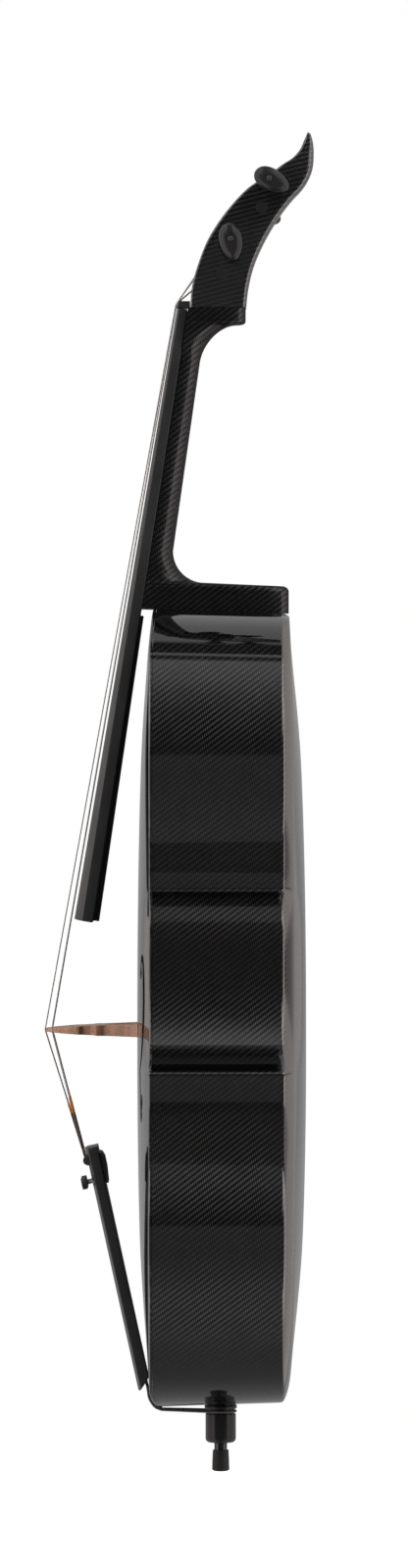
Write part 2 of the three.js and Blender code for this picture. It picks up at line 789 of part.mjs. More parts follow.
const headOriginY = neckFrontY(neckTopZ) + headSetback;
const frontEdgeShares = [
  [0, 0], [0.007, 0.104], [0.037, 0.224], [0.099, 0.383], [0.198, 0.536], [0.321, 0.672],
  [0.433, 0.745], [0.515, 0.807], [0.575, 0.847], [0.617, 0.894], [0.641, 0.945], [0.663, 0.998],
];
const backEdgeShares = [
  [0.316, 0], [0.329, 0.116], [0.36, 0.242], [0.417, 0.374], [0.494, 0.506], [0.569, 0.606],
  [0.631, 0.673], [0.668, 0.73], [0.691, 0.79], [0.698, 0.864], [0.694, 0.936], [0.68, 0.989],
];
const headWidthShares = [1, 1, 0.98, 0.95, 0.9, 0.83, 0.74, 0.66, 0.57, 0.46, 0.35, 0.22];
const headSections = 22;

const headPoint = ([deep, up]) => new THREE.Vector3(
  0, headOriginY + deep * headHeight, seamZ + up * headHeight);
const frontEdge = new THREE.CatmullRomCurve3(frontEdgeShares.map(headPoint));
const backEdge = new THREE.CatmullRomCurve3(backEdgeShares.map(headPoint));
const headWidths = new THREE.SplineCurve(headWidthShares.map((share, i) => new THREE.Vector2(i, share)));

function headSection(t) {
  const front = frontEdge.getPoint(t);
  const back = backEdge.getPoint(t);
  const width = headWidths.getPoint(t).y * headWidth;
  return { front, back, width, depth: new THREE.Vector3().subVectors(back, front).normalize() };
}

// Half of a head section: x as a share of the half width, then the way back as a share of the depth.
const headSectionShares = [[0, 0], [0.86, 0], [1, 0.05], [1, 0.74], [0.94, 0.9], [0.74, 0.985], [0, 1]];

function headRing(t) {
  const { front, back, width } = headSection(t);
  return mirrored(headSectionShares.map(([across, deep]) => (
    front.clone().lerp(back, deep).setX((across * width) / 2))));
}

const pegboxStart = 0.045;     // shares along the head
const pegboxEnd = 0.6;
const pegboxSections = 7;

function pegboxCutter() {
  const rings = [];
  for (let i = 0; i <= pegboxSections; i += 1) {
    const t = THREE.MathUtils.lerp(pegboxStart, pegboxEnd, i / pegboxSections);
    const { front, back, width, depth } = headSection(t);
    const half = width / 2 - cheek;
    const open = front.clone().addScaledVector(depth, -overrun);
    const wall = back.clone().addScaledVector(depth, -pegboxBack);
    rings.push(mirrored([
      open, open.clone().setX(half), wall.clone().setX(half).addScaledVector(depth, -overrun),
      wall.clone().setX(half * 0.75), wall]));
  }
  return loft(rings);
}

// Pegs: place as shares of the head's height, the side that the head is on, the head's turn.
const pegs = {
  a: { place: [0.2259, 0.3729], side: 1, turn: 10, coil: 0.3 },
  d: { place: [0.4435, 0.7146], side: 1, turn: 63, coil: 0.2 },
  g: { place: [0.4015, 0.5635], side: -1, turn: -68, coil: -0.25 },
  c: { place: [0.1791, 0.1894], side: -1, turn: -15, coil: -0.3 },
};
const pegTaper = (pegRadius - pegEndRadius) / headWidth;

const cheekSamples = 120;

// Half the head's width at a peg: its widest within reach of the collar.
function cheekHalf(place) {
  const centre = headPoint(place);
  let widest = 0;
  for (let i = 0; i <= cheekSamples; i += 1) {
    const { front, back, width } = headSection(i / cheekSamples);
    const middle = front.clone().lerp(back, 0.5);
    const near = middle.distanceTo(centre) < pegCollarRadius + pegRadius;
    widest = near ? Math.max(widest, width / 2) : widest;
  }
  return widest;
}

function pegHole({ place, side }) {
  const half = cheekHalf(place) + overrun;
  const start = pegRadius + pegTaper * overrun + gap;
  const profile = [[0, -half], [start - pegTaper * 2 * half, -half], [start, half], [0, half]];
  const hole = turned(profile, roundSteps, 'x');
  if (side < 0) {
    hole.rotateZ(Math.PI);
  }
  const centre = headPoint(place);
  return hole.translate(0, centre.y, centre.z);
}

function makePegbox() {
  const rings = [];
  for (let i = 0; i <= headSections; i += 1) {
    rings.push(headRing(i / headSections));
  }
  return cut(loft(rings), [pegboxCutter(), ...Object.values(pegs).map(pegHole)]);
}

// One peg along +X: shaft through both cheeks, collar and an egg-shaped head.
const pegHeadShares = [[0, 0.3, 0.42], [0.14, 0.34, 0.44], [0.34, 0.72, 0.66], [0.55, 0.97, 0.94],
  [0.72, 1, 1], [0.88, 0.84, 0.84], [1, 0.5, 0.5]];
const pegHeadOffset = 0.145;   // how far the head's middle lies from the shaft, as a share of half its length

function makePeg(half) {
  const collar = half + gap;
  const shaft = turned([
    [0, -half], [pegRadius - pegTaper * 2 * half, -half], [pegRadius, collar],
    [pegCollarRadius, collar], [pegCollarRadius, collar + pegCollarLength * 0.6],
    [pegNeckRadius, collar + pegCollarLength], [pegNeckRadius, collar + pegCollarLength + gap],
    [0, collar + pegCollarLength + gap]], roundSteps, 'x');
  const rings = pegHeadShares.map(([along, long, short]) => {
    const x = collar + pegCollarLength + along * pegHeadLength;
    const ring = [];
    for (let i = 0; i < roundSteps; i += 1) {
      const angle = (i / roundSteps) * Math.PI * 2;
      const narrow = 1 - 0.16 * long * Math.cos(angle);
      const z = (-Math.cos(angle) * long - pegHeadOffset * long) * (pegHeadLong / 2);
      const y = Math.sin(angle) * short * narrow * (pegHeadShort / 2);
      ring.push(new THREE.Vector3(x, y, z));
    }
    return ring;
  });
  return join([shaft, loft(rings, 'x')]);
}

function makePip(half) {
  const base = half + gap + pegCollarLength + pegHeadLength + gap;
  const profile = [[0, base], [pipRadius, base], [pipRadius, base + pipRadius * 0.4],
    [pipRadius * 0.8, base + pipRadius * 0.9], [pipRadius * 0.4, base + pipRadius * 1.2],
    [0, base + pipRadius * 1.3]];
  return turned(profile, smallSteps, 'x');
}

for (const [name, { place, side, turn }] of Object.entries(pegs)) {
  const half = cheekHalf(place);
  const holder = new THREE.Group();
  holder.position.copy(headPoint(place));
  holder.rotation.set(turn * degree, 0, side < 0 ? Math.PI : 0, 'ZYX');
  piece(`peg_${name}`, makePeg(half), composite, holder);
  piece(`peg_pip_${name}`, makePip(half), composite, holder);
  cello.add(holder);
}

// Nut

const nutStations = 8;

function makeNut() {
  const back = headOriginY - gap;
  const rings = [];
  for (let i = 0; i <= nutStations; i += 1) {
    const x = (i / nutStations - 0.5) * boardWidthNut;
    const front = -nutReach - nutRise + sagitta(x);
    const top = seamZ + nutHeight - gap;
    const low = seamZ + gap;
    const profile = [[front, low], [front, top - nutRound * 2], [front + nutRound, top - nutRound * 0.4],
      [front + nutRound * 2, top], [back, top], [back, low]];
    rings.push(profile.map(([y, z]) => new THREE.Vector3(x, y, z)));
  }
  return loft(rings, 'x');
}

// Bridge: front outline as shares of its height and of half its foot spread

const bridgeSideShares = [
  [0.43, 0], [1, 0], [1, 0.05], [0.8, 0.1], [0.68, 0.28], [0.66, 0.4], [0.78, 0.47], [0.79, 0.505],
  [0.6, 0.515], [0.52, 0.56], [0.57, 0.63], [0.72, 0.66], [0.74, 0.7], [0.69, 0.8], [0.66, 0.87],
];
const bridgeArchShares = [[0, 0.42], [0.16, 0.4], [0.34, 0.3], [0.45, 0.18], [0.46, 0.08], [0.43, 0.04]];
const heartShares = [[0, 0.6], [0.1, 0.66], [0.16, 0.72], [0.11, 0.76], [0.03, 0.745], [0, 0.71]];
const bridgeSink = 8;          // extra foot length, cut away to fit the arch

const bridgeFall = outerStringDrop / (
  (stringSpreadBridge / 2) ** 2 - (stringSpreadBridge / 6) ** 2);
const bridgeCrown = (x) => bridgeTopY + bridgeFall * (x * x - (stringSpreadBridge / 6) ** 2);

function makeBridge() {
  const footY = frontY(bridgeZ, 1) + bridgeSink;
  const full = footY - bridgeTopY;
  const half = bridgeFootSpread / 2;
  const at = ([across, up]) => new THREE.Vector2(across * half, footY - up * full);
  const crownEnd = at(bridgeSideShares.at(-1)).x;
  const crown = [0.75, 0.5, 0.25].map((share) => (
    new THREE.Vector2(share * crownEnd, bridgeCrown(share * crownEnd))));
  const corner = new THREE.Vector2(crownEnd, bridgeCrown(crownEnd));
  const side = [...bridgeArchShares.map(at), ...bridgeSideShares.map(at), corner, ...crown];
  const top = new THREE.Vector2(0, bridgeCrown(0));
  const left = side.slice(1).reverse().map((point) => new THREE.Vector2(-point.x, point.y));
  const shape = new THREE.Shape([...side, top, ...left]);
  const heart = heartShares.map(at);
  const heartLeft = heart.slice(1, -1).reverse().map((point) => new THREE.Vector2(-point.x, point.y));
  shape.holes.push(new THREE.Path([...heart, ...heartLeft].reverse()));
  const board = new THREE.ExtrudeGeometry(shape, { depth: bridgeThickFoot, bevelEnabled: false });
  board.translate(0, 0, bridgeZ - bridgeThickFoot / 2);
  const wedge = [-1, 1].map((end) => [
    [bridgeTopY - overrun, bridgeThickTop], [bridgeTopY + 0.45 * full, bridgeThickMiddle],
    [footY + overrun, bridgeThickFoot], [footY + overrun, -bridgeThickFoot],
    [bridgeTopY + 0.45 * full, -bridgeThickMiddle], [bridgeTopY - overrun, -bridgeThickTop],
  ].map(([y, thick]) => new THREE.Vector3(end * (half + overrun), y, bridgeZ + thick / 2)));
  return cut(common(board, loft(wedge, 'x')), [bodyFront()]);
}

// Tailpiece, its fine tuners and their axle, in a frame that leans with the tailpiece.
// Local z runs up from the lower tip, local y runs back from the front face.

const tail = new THREE.Group();
tail.position.set(0, tailTipY, tailTipZ);
tail.rotation.x = tailLean * degree;
cello.add(tail);

const tailPlaces = [0, 0.02, 0.035, 0.3, 0.7, 0.93, 0.985, 1];
const tailWidthShares = [0.86, 0.95, 1, 1.16, 1.62, 1.98, tailWidthTop / tailWidthBottom, 1.96];

function tailRing(share, i) {
  const z = share * tailLength;
  const half = (tailWidthShares[i] * tailWidthBottom) / 2;
  const bevel = Math.min(z / tailEndBevel, 1);
  const back = THREE.MathUtils.lerp(tailCrown, tailThickness, bevel);
  const sideFront = tailCrown * 0.9;
  return mirrored([
    new THREE.Vector3(0, 0, z),
    new THREE.Vector3(half * 0.5, tailCrown * 0.22, z),
    new THREE.Vector3(half * 0.9, sideFront, z),
    new THREE.Vector3(half, Math.min(sideFront + tailCrown * 0.7, (sideFront + back) / 2), z),
    new THREE.Vector3(half, (sideFront + 2 * back) / 3, z),
    new THREE.Vector3(half * 0.93, back, z),
    new THREE.Vector3(0, back, z),
  ]);
}

const tunerZ = tailLength - tunerPlace;
const axleZ = tailLength - axlePlace;
const stringX = (spread, order) => (spread / 2) * [1, 1 / 3, -1 / 3, -1][order];
const stringNames = ['a', 'd', 'g', 'c'];
const slotHalf = leverWidth / 2 + slotClearance;
const noseFront = -leverNose * 0.75;

function leverSlot(x) {
  return block(
    new THREE.Vector3(x - slotHalf, -overrun, tunerZ + stemRadius * 3.6),
    new THREE.Vector3(x + slotHalf, tailThickness + overrun, axleZ + leverNose + gap * 4));
}

function screwHole(x) {
  const radius = stemRadius + gap;
  const profile = [[0, -overrun], [radius, -overrun], [radius, tailThickness + overrun],
    [0, tailThickness + overrun]];
  return turned(profile, smallSteps, 'y').translate(x, 0, tunerZ);
}

function axleBar(radius, half) {
  const bar = turned([[0, -half], [radius, -half], [radius, half], [0, half]], smallSteps, 'x');
  return bar.translate(0, axleDepth, axleZ);
}

const cordHoleZ = tailEndBevel * 2.4;
const cordHoleY = tailThickness - cordRadius * 2.6;

function cordHole(x) {
  const radius = cordRadius + gap;
  const hole = turned([[0, -overrun], [radius, -overrun], [radius, cordHoleZ], [0, cordHoleZ]], smallSteps);
  return hole.translate(x, cordHoleY, 0);
}

function makeTailpiece() {
  const xs = stringNames.map((name, order) => stringX(stringSpreadTail, order));
  const cords = [-cordSpread / 2, cordSpread / 2].map(cordHole);
  return cut(loft(tailPlaces.map(tailRing)), [
    ...xs.map(leverSlot), ...xs.map(screwHole), axleBar(axleRadius + gap, tailWidthTop), ...cords]);
}

// Lever: a nose in front that holds the string's ball, a hub on the axle and an arm behind.
const armFront = tailThickness + leverClearance;

function makeLever(x, stringRadius) {
  const nose = leverNose;
  const profile = [
    [noseFront + nose * 0.3, axleZ + nose * 0.62], [noseFront, axleZ + nose * 0.1],
    [noseFront + nose * 0.1, axleZ - nose * 0.6], [noseFront + nose * 0.6, axleZ - nose * 1.0],
    [axleDepth, axleZ - nose], [armFront - leverClearance, axleZ - nose * 2.0],
    [armFront, axleZ - nose * 2.6], [armFront, tunerZ - stemRadius * 2.4],
    [armFront + leverArmThickness * 0.6, tunerZ - stemRadius * 3],
    [armFront + leverArmThickness, axleZ - nose * 2.1],
    [armFront + leverArmThickness, axleZ - nose * 0.2],
    [armFront + leverArmThickness * 0.6, axleZ + nose * 0.7],
    [armFront - leverClearance, axleZ + nose * 0.95], [axleDepth, axleZ + nose],
  ];
  const half = leverWidth / 2;
  const rings = [-half, half].map((side) => profile.map(([y, z]) => new THREE.Vector3(x + side, y, z)));
  const bore = axleBar(axleRadius + gap, tailWidthTop);
  const pocketRadius = ballRadius + gap;
  const pocket = new THREE.SphereGeometry(pocketRadius, smallSteps, smallSteps / 2);
  pocket.translate(x, ballY, ballZ);
  const pocketMouth = block(
    new THREE.Vector3(x - pocketRadius * 0.8, -overrun * 3, ballZ - pocketRadius * 0.8),
    new THREE.Vector3(x + pocketRadius * 0.8, ballY, ballZ + pocketRadius * 0.5));
  const slot = block(
    new THREE.Vector3(x - stringRadius - gap, -overrun * 3, ballZ),
    new THREE.Vector3(x + stringRadius + gap, ballY + stringRadius + slotBehind, axleZ + nose + overrun));
  return cut(loft(rings, 'x'), [bore, pocket, pocketMouth, slot]);
}

const ballY = noseFront + ballRadius * 0.9;
const ballZ = axleZ - leverNose * 0.25;

function makeScrewStem(x) {
  const length = stemShown + tailThickness;
  return turned([[0, 0], [stemRadius, 0], [stemRadius, length], [0, length]], smallSteps, 'y')
    .translate(x, -stemShown, tunerZ);
}

function makeKnob(x) {
  const profile = [[0, 0], [knobRadius * 0.9, 0],
    [knobRadius, knobLength * 0.2], [knobRadius, knobLength * 0.8],
    [knobRadius * 0.85, knobLength], [0, knobLength]];
  return turned(profile, roundSteps, 'y').translate(x, -stemShown - gap - knobLength, tunerZ);
}

piece('tailpiece', makeTailpiece(), composite, tail);
piece('tuner_axle', axleBar(axleRadius, tailWidthTop * 0.47), steel, tail);
stringNames.forEach((name, order) => {
  const x = stringX(stringSpreadTail, order);
  const stringRadius = stringDiameters[name] / 2;
  piece(`tuner_lever_${name}`, makeLever(x, stringRadius), composite, tail);
  piece(`tuner_stem_${name}`, makeScrewStem(x), steel, tail);
  piece(`tuner_knob_${name}`, makeKnob(x), composite, tail);
  const ball = new THREE.SphereGeometry(ballRadius, smallSteps, smallSteps / 2);
  piece(`string_ball_${name}`, ball.translate(x, ballY, ballZ), steel, tail);
});

// Strings, each one unbroken wire from its turns on the peg to its ball

const tailToWorld = (x, y, z) => new THREE.Vector3(
  x,
  tailTipY + y * Math.cos(tailLean * degree) - z * Math.sin(tailLean * degree),
  tailTipZ + y * Math.sin(tailLean * degree) + z * Math.cos(tailLean * degree));

// Turns round a peg, from the point where the string arrives at the front of the shaft.
function pegCoil(peg, radius, arriving, coilX, wire) {
  const centre = headPoint(peg.place);
  const away = new THREE.Vector2(arriving.y - centre.y, arriving.z - centre.z);
  const toPeg = Math.atan2(away.y, away.x);
  const start = toPeg - Math.acos(radius / away.length());
  const pitch = (wire * 2 + turnGap) * peg.side;
  const steps = pegTurns * turnSteps;
  const points = [];
  for (let i = 0; i <= steps; i += 1) {
    const angle = start - (i / turnSteps) * Math.PI * 2;
    const x = coilX + (i / turnSteps) * pitch;
    points.push(new THREE.Vector3(
      x, centre.y + radius * Math.cos(angle), centre.z + radius * Math.sin(angle)));
  }
  return points;
}

// Least gap of a coil to itself, measured between points at least half a turn apart.
function leastGap(points, radius) {
  let least = Infinity;
  points.forEach((point, i) => {
    for (let j = i + turnSteps / 2; j < points.length; j += 1) {
      least = Math.min(least, point.distanceTo(points[j]) - 2 * radius);
    }
  });
  return least;
}

function stringPath(name, order) {
  const wire = stringDiameters[name] / 2;
  const peg = pegs[name];
  const nutX = stringX(stringSpreadNut, order);
  const nutFront = -nutReach - nutRise + sagitta(nutX) - gap - wire;
  const nutTop = seamZ + nutHeight + wire;
  const leave = new THREE.Vector3(nutX, nutFront + nutRound * 1.4, nutTop - nutRound * 0.3);
  const shaft = pegRadius + gap * 2 + wire;
  const coilX = peg.coil * (headWidth / 2);
  const coil = pegCoil(peg, shaft, leave, coilX, wire);
  const path = [...coil].reverse();
  const passed = pegs.a;
  if (name === 'g') {
    const centre = headPoint(passed.place);
    const run = new THREE.Vector3().subVectors(coil[0], leave).setX(0).normalize();
    const out = new THREE.Vector3(0, -run.z, run.y);
    path.push(centre.addScaledVector(out, pegRadius + gap + wire).setX((coilX + nutX) / 2));
  }
  const bridgeX = stringX(stringSpreadBridge, order);
  const tailX = stringX(stringSpreadTail, order);
  path.push(leave);
  path.push(new THREE.Vector3(nutX, nutFront, nutTop - nutRound * 2.6));
  path.push(new THREE.Vector3(bridgeX, bridgeCrown(bridgeX) - 2 * gap - wire, bridgeZ));
  path.push(tailToWorld(tailX, ballY, ballZ + ballRadius + gap));
  return { path, coil, wire };
}

stringNames.forEach((name, order) => {
  const { path, coil, wire } = stringPath(name, order);
  console.log(`string_${name}: least gap in its peg turns ${leastGap(coil, wire).toFixed(2)} mm`);
  piece(`string_${name}`, tube(path, wire, cordSides), steel);
});

// Saddle and tail cord: both follow the front edge's bend at the bottom of the body

const saddleSteps = 5;
const saddleStandoff = gap + frontArch * archShare(bodyBottom + saddleLength, 0.04);

// A point beside the front edge's middle line: station 0 is the saddle's top, the last its bottom.
function besideRim(station, standoff) {
  const heightAt = (i) => bodyBottom + saddleLength * (1 - i / saddleSteps);
  const rimAt = (i) => new THREE.Vector2(frontY(heightAt(i), 0), heightAt(i));
  const before = rimAt(Math.max(station - 1, 0));
  const after = rimAt(Math.min(station + 1, saddleSteps));
  const run = after.sub(before).normalize();
  return rimAt(station).addScaledVector(new THREE.Vector2(run.y, -run.x), standoff);
}

const saddleStations = [...Array(saddleSteps + 1).keys()];

function makeSaddle() {
  const outer = saddleStations.map((i) => besideRim(i, saddleStandoff + saddleThickness));
  const inner = saddleStations.map((i) => besideRim(i, saddleStandoff)).reverse();
  const rings = [-saddleWidth / 2, saddleWidth / 2].map((x) => (
    [...outer, ...inner].map((point) => new THREE.Vector3(x, point.x, point.y))));
  return loft(rings, 'x');
}

const cordLoopZ = (collarTop + flangeBottom) / 2;
const cordLoopRadius = grooveRadius + gap + cordRadius;
const cordStandoff = saddleStandoff + saddleThickness + gap * 2 + cordRadius;
const loopSteps = 10;
const loopStart = 20;          // degrees past the side of the groove

function makeTailCord() {
  const half = cordSpread / 2;
  const side = [
    tailToWorld(half, cordHoleY, cordHoleZ - gap),
    tailToWorld(half, cordHoleY, 0),
  ];
  for (const station of saddleStations.slice(2)) {
    const point = besideRim(station, cordStandoff);
    side.push(new THREE.Vector3(half, point.x, point.y));
  }
  const corner = besideRim(saddleSteps, saddleStandoff + saddleThickness);
  side.push(new THREE.Vector3(half, corner.x + cordRadius / 2, corner.y - cordRadius - gap * 2));
  const loop = [];
  for (let i = 0; i <= loopSteps; i += 1) {
    const angle = THREE.MathUtils.lerp(-loopStart, 180 + loopStart, i / loopSteps) * degree;
    loop.push(new THREE.Vector3(
      cordLoopRadius * Math.cos(angle), cordLoopRadius * Math.sin(angle), cordLoopZ));
  }
  const back = side.map((point) => point.clone().setX(-point.x)).reverse();
  return tube([...side, ...loop, ...back], cordRadius, cordSides + 2);
}

// Endpin: socket in the end block, twisting lock collar over a slit collet, rod and rubber tip

const bore = rodRadius + gap;

function makeSocket() {
  return turned([
    [bore, collarTop + gap], [grooveRadius, collarTop + gap], [grooveRadius, flangeBottom],
    [flangeRadius, flangeBottom], [flangeRadius, flangeTop - gap], [flangeRadius - gap, flangeTop],
    [socketRadius, flangeTop], [socketRadius, flangeTop + socketLength],
    [bore, flangeTop + socketLength], [bore, collarTop + gap]], roundSteps);
}

const colletTop = collarTop;
const colletBottom = collarTop - colletLength;

function makeCollet() {
  const outer = bore + colletWall;
  const sleeve = turned([
    [bore, colletBottom], [outer - colletWall / 2, colletBottom], [outer, colletBottom + colletWall],
    [outer, colletTop], [bore, colletTop], [bore, colletBottom]], roundSteps);
  const slits = [0, 90].map((angle) => {
    const reach = collarRadius;
    const slit = block(
      new THREE.Vector3(-reach, -colletSlit / 2, colletBottom - overrun),
      new THREE.Vector3(reach, colletSlit / 2, colletTop - colletLength / 4));
    return slit.rotateZ(angle * degree);
  });
  return cut(sleeve, slits);
}

function makeLockCollar() {
  const inside = bore + colletWall + gap;
  const floor = colletBottom - gap;
  return turned([
    [bore, collarBottom], [collarRadius - collarRound, collarBottom],
    [collarRadius - collarRound * 0.3, collarBottom + collarRound * 0.3],
    [collarRadius, collarBottom + collarRound], [collarRadius, collarTop - gap],
    [collarRadius - gap, collarTop],
    [inside, collarTop], [inside, floor], [bore, floor], [bore, collarBottom]], roundSteps + 4);
}

function makeRod() {
  const low = tipLength - tipWall;
  const top = low + rodLength;
  return turned([[0, low], [rodRadius, low], [rodRadius, top - rodChamfer], [rodRadius - rodChamfer, top],
    [0, top]], smallSteps + 2);
}

function makeTip() {
  return turned([
    [0, 0], [tipFlat, 0], [tipRadius - tipDome / 2, tipDome / 2], [tipRadius, tipDome],
    [tipTopRadius, tipLength], [rodRadius + gap, tipLength], [rodRadius + gap, tipLength - tipWall - gap],
    [0, tipLength - tipWall - gap]], roundSteps);
}

piece('top_plate', makePlate(), carbon);
piece('body_tub', makeTub(), carbon);
piece('soundpost', makeSoundpost(), spruce);
piece('bass_bar', makeBassBar(), carbon);
piece('end_block', makeEndBlock(), composite);
piece('neck_block', makeBlock(bodyTop - blockHeight, bodyTop), composite);
piece('neck', makeNeck(), carbon);
piece('pegbox', makePegbox(), carbon);
piece('fingerboard', makeFingerboard(), ebony);
piece('nut', makeNut(), ebony);
piece('bridge', makeBridge(), maple);
piece('saddle', makeSaddle(), ebony);
piece('tail_cord', makeTailCord(), rubber);
piece('endpin_socket', makeSocket(), composite);
piece('endpin_collet', makeCollet(), composite);
piece('endpin_lock_collar', makeLockCollar(), composite);
piece('endpin_rod', makeRod(), carbon);
piece('endpin_tip', makeTip(), rubber);

export default cello;
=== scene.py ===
"""A full-size cello with a carbon fibre body: its looks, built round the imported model."""

import math

import bmesh
import bpy
from mathutils import Matrix, Vector


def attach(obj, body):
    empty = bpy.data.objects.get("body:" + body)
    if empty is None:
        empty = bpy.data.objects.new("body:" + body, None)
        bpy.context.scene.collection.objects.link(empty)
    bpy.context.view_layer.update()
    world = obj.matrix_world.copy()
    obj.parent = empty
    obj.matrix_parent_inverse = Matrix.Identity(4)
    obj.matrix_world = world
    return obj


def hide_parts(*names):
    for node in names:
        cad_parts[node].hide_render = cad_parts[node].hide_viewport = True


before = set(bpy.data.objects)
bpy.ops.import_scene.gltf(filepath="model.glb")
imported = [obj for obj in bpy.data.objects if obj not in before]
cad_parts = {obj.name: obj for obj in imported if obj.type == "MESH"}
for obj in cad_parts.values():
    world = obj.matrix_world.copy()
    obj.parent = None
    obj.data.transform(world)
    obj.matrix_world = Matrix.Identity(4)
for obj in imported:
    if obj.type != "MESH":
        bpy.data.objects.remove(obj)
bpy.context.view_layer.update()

# Lengths are named in millimetres and become metres when a mesh is made.
METRES = 0.001

# Body shell
GAP = 0.3
CUT_PAST = 3
WELD = 0.01
BODY_BOTTOM = 62
BODY_LENGTH = 752.5
LOWER_BOUT = 440
UPPER_BOUT = 345
WAIST = 236
LOWER_CORNER = 360
UPPER_CORNER = 298
FRONT_RIM = 67
BACK_RIM = 55.3
BACK_EDGE_RISE = 9
RIB_DRAFT = 3.5
FRONT_ARCH = 11.8
BACK_ARCH = 16.4
SHELL_WALL = 2.6
PLATE_THICKNESS = 3.2
PLATE_EDGE_ROUND = 1.6
TOP_END_BEND = 3.5
TOP_END_BEND_LENGTH = 50
BOTTOM_END_BEND = 12
BOTTOM_END_BEND_LENGTH = 26
HEEL_SEAT = 68

# Sound holes
SOUND_HOLE_LENGTH = 150
SOUND_HOLE_SPREAD = 190
SOUND_HOLE_WIDTH = 12
SOUND_HOLE_HEIGHT = 350
UPPER_EYE_RADIUS = 6
LOWER_EYE_RADIUS = 7.5

# Bridge
BRIDGE_HEIGHT = 86
BRIDGE_PLACE = 355.6
BRIDGE_THICK_TOP = 2.8
BRIDGE_THICK_MIDDLE = 9.2
BRIDGE_THICK_FOOT = 12.8
BRIDGE_FOOT_SPREAD = 94

# Neck
NECK_LENGTH = 285
NECK_THICKNESS = 18.8
HEEL_THICKNESS = 21
NECK_WIDTH = 29
HEEL_WIDTH = 44
HEEL_FLARE = 2
HEEL_THROAT = 40
HEEL_HEIGHT = 25.5
HEEL_FILLET = 30
HEEL_TOP_SLOPE = 3.7
SHOULDER_DEPTH = 54.2
SHOULDER_HEIGHT = 15
SHOULDER_CURVE = 36

# Head
HEAD_HEIGHT = 166.8
HEAD_WIDTH = 46
HEAD_SETBACK = 2
CHEEK = 7.5
PEGBOX_BACK = 8

# Fingerboard and nut
BOARD_TO_BRIDGE = 104.8
BOARD_WIDTH_NUT = 31
BOARD_WIDTH_END = 63
BOARD_SIDE_NUT = 10.2
BOARD_SIDE_END = 18
BOARD_RADIUS = 62
SPINE_WIDTH_NECK = 30
SPINE_WIDTH_END = 40
SPINE_DEPTH_NECK = 3
SPINE_DEPTH_END = 5.4
SPINE_SHORT = 2
NUT_REACH = 41.2
NUT_HEIGHT = 6.4
NUT_RISE = 0.6
NUT_ROUND = 1.4

# Strings
STRING_RUN_OVER_BOARD = 7.6
STRING_SPREAD_NUT = 22
STRING_SPREAD_BRIDGE = 47
STRING_SPREAD_TAIL = 45
OUTER_STRING_DROP = 6.5
STRING_DIAMETERS = {"a": 0.8, "d": 1, "g": 1.2, "c": 1.7}
TURN_GAP = 0.6
PEG_TURNS = 3

# Pegs
PEG_RADIUS = 6.1
PEG_END_RADIUS = 5.4
PEG_COLLAR_RADIUS = 8.5
PEG_COLLAR_LENGTH = 5
PEG_HEAD_LENGTH = 27
PEG_HEAD_LONG = 34.7
PEG_HEAD_SHORT = 21
PEG_NECK_RADIUS = 5
PIP_RADIUS = 2.7

# Tailpiece
TAIL_LEAN = 12.4
TAIL_TIP_Y = -77.9
TAIL_TIP_Z = 77
TAIL_LENGTH = 234.5
TAIL_WIDTH_TOP = 61
TAIL_WIDTH_BOTTOM = 30
TAIL_THICKNESS = 12.4
TAIL_CROWN = 2.6
TAIL_END_BEVEL = 9.5
TUNER_PLACE = 32.2
AXLE_PLACE = 10.9
AXLE_DEPTH = 5.5
AXLE_RADIUS = 1.5
LEVER_WIDTH = 5.6
LEVER_NOSE = 5.2
LEVER_ARM_THICKNESS = 3.8
SLOT_CLEARANCE = 0.5
KNOB_RADIUS = 5.5
KNOB_LENGTH = 5
STEM_RADIUS = 1.4
STEM_SHOWN = 4.6
LEVER_CLEARANCE = 0.5
BALL_RADIUS = 2.4

# Tail cord and saddle
CORD_RADIUS = 1.25
CORD_SPREAD = 12
SADDLE_WIDTH = 34
SADDLE_THICKNESS = 1.3
SADDLE_LENGTH = 17

# Endpin
ROD_RADIUS = 6
ROD_LENGTH = 470
ROD_CHAMFER = 1
TIP_LENGTH = 20.3
TIP_TOP_RADIUS = 7.5
TIP_RADIUS = 8.3
TIP_DOME = 2.2
TIP_FLAT = 4
TIP_WALL = 9
TIP_EDGE = 0.6
COLLAR_BOTTOM = 27.3
COLLAR_TOP = 54.6
COLLAR_RADIUS = 14.4
COLLAR_ROUND = 4
COLLAR_EDGE = 0.5
FLANGE_RADIUS = 15.3
FLANGE_BOTTOM = 59.2
FLANGE_TOP = 63
FLANGE_ROUND = 1.3
GROOVE_RADIUS = 12.4
SOCKET_RADIUS = 12.4
SOCKET_LENGTH = 42
COLLET_LENGTH = 20
COLLET_WALL = 2.6

# The photograph's view, in metres but for the camera's sensor
CAMERA_DISTANCE = 7
VIEW_CENTRE_Y = -0.0158
VIEW_CENTRE_Z = 0.6498
VIEW_HEIGHT = 1.483
SENSOR_WIDTH = 36

BODY_TOP = BODY_BOTTOM + BODY_LENGTH


def lerp(a, b, t):
    return a + (b - a) * t


def clamp(value, low, high):
    return max(low, min(high, value))


def span(low, high, steps):
    """Even steps from one value to another, with both among them."""
    return [lerp(low, high, k / steps) for k in range(steps + 1)]


def quarter(steps, first=0):
    """Sine, cosine and share of the way, in even steps of a quarter turn."""
    for k in range(first, steps + 1):
        angle = math.pi / 2 * k / steps
        yield math.sin(angle), math.cos(angle), k / steps


def add_object(name, data):
    made = bpy.data.objects.new(name, data)
    bpy.context.scene.collection.objects.link(made)
    return made


# Camera

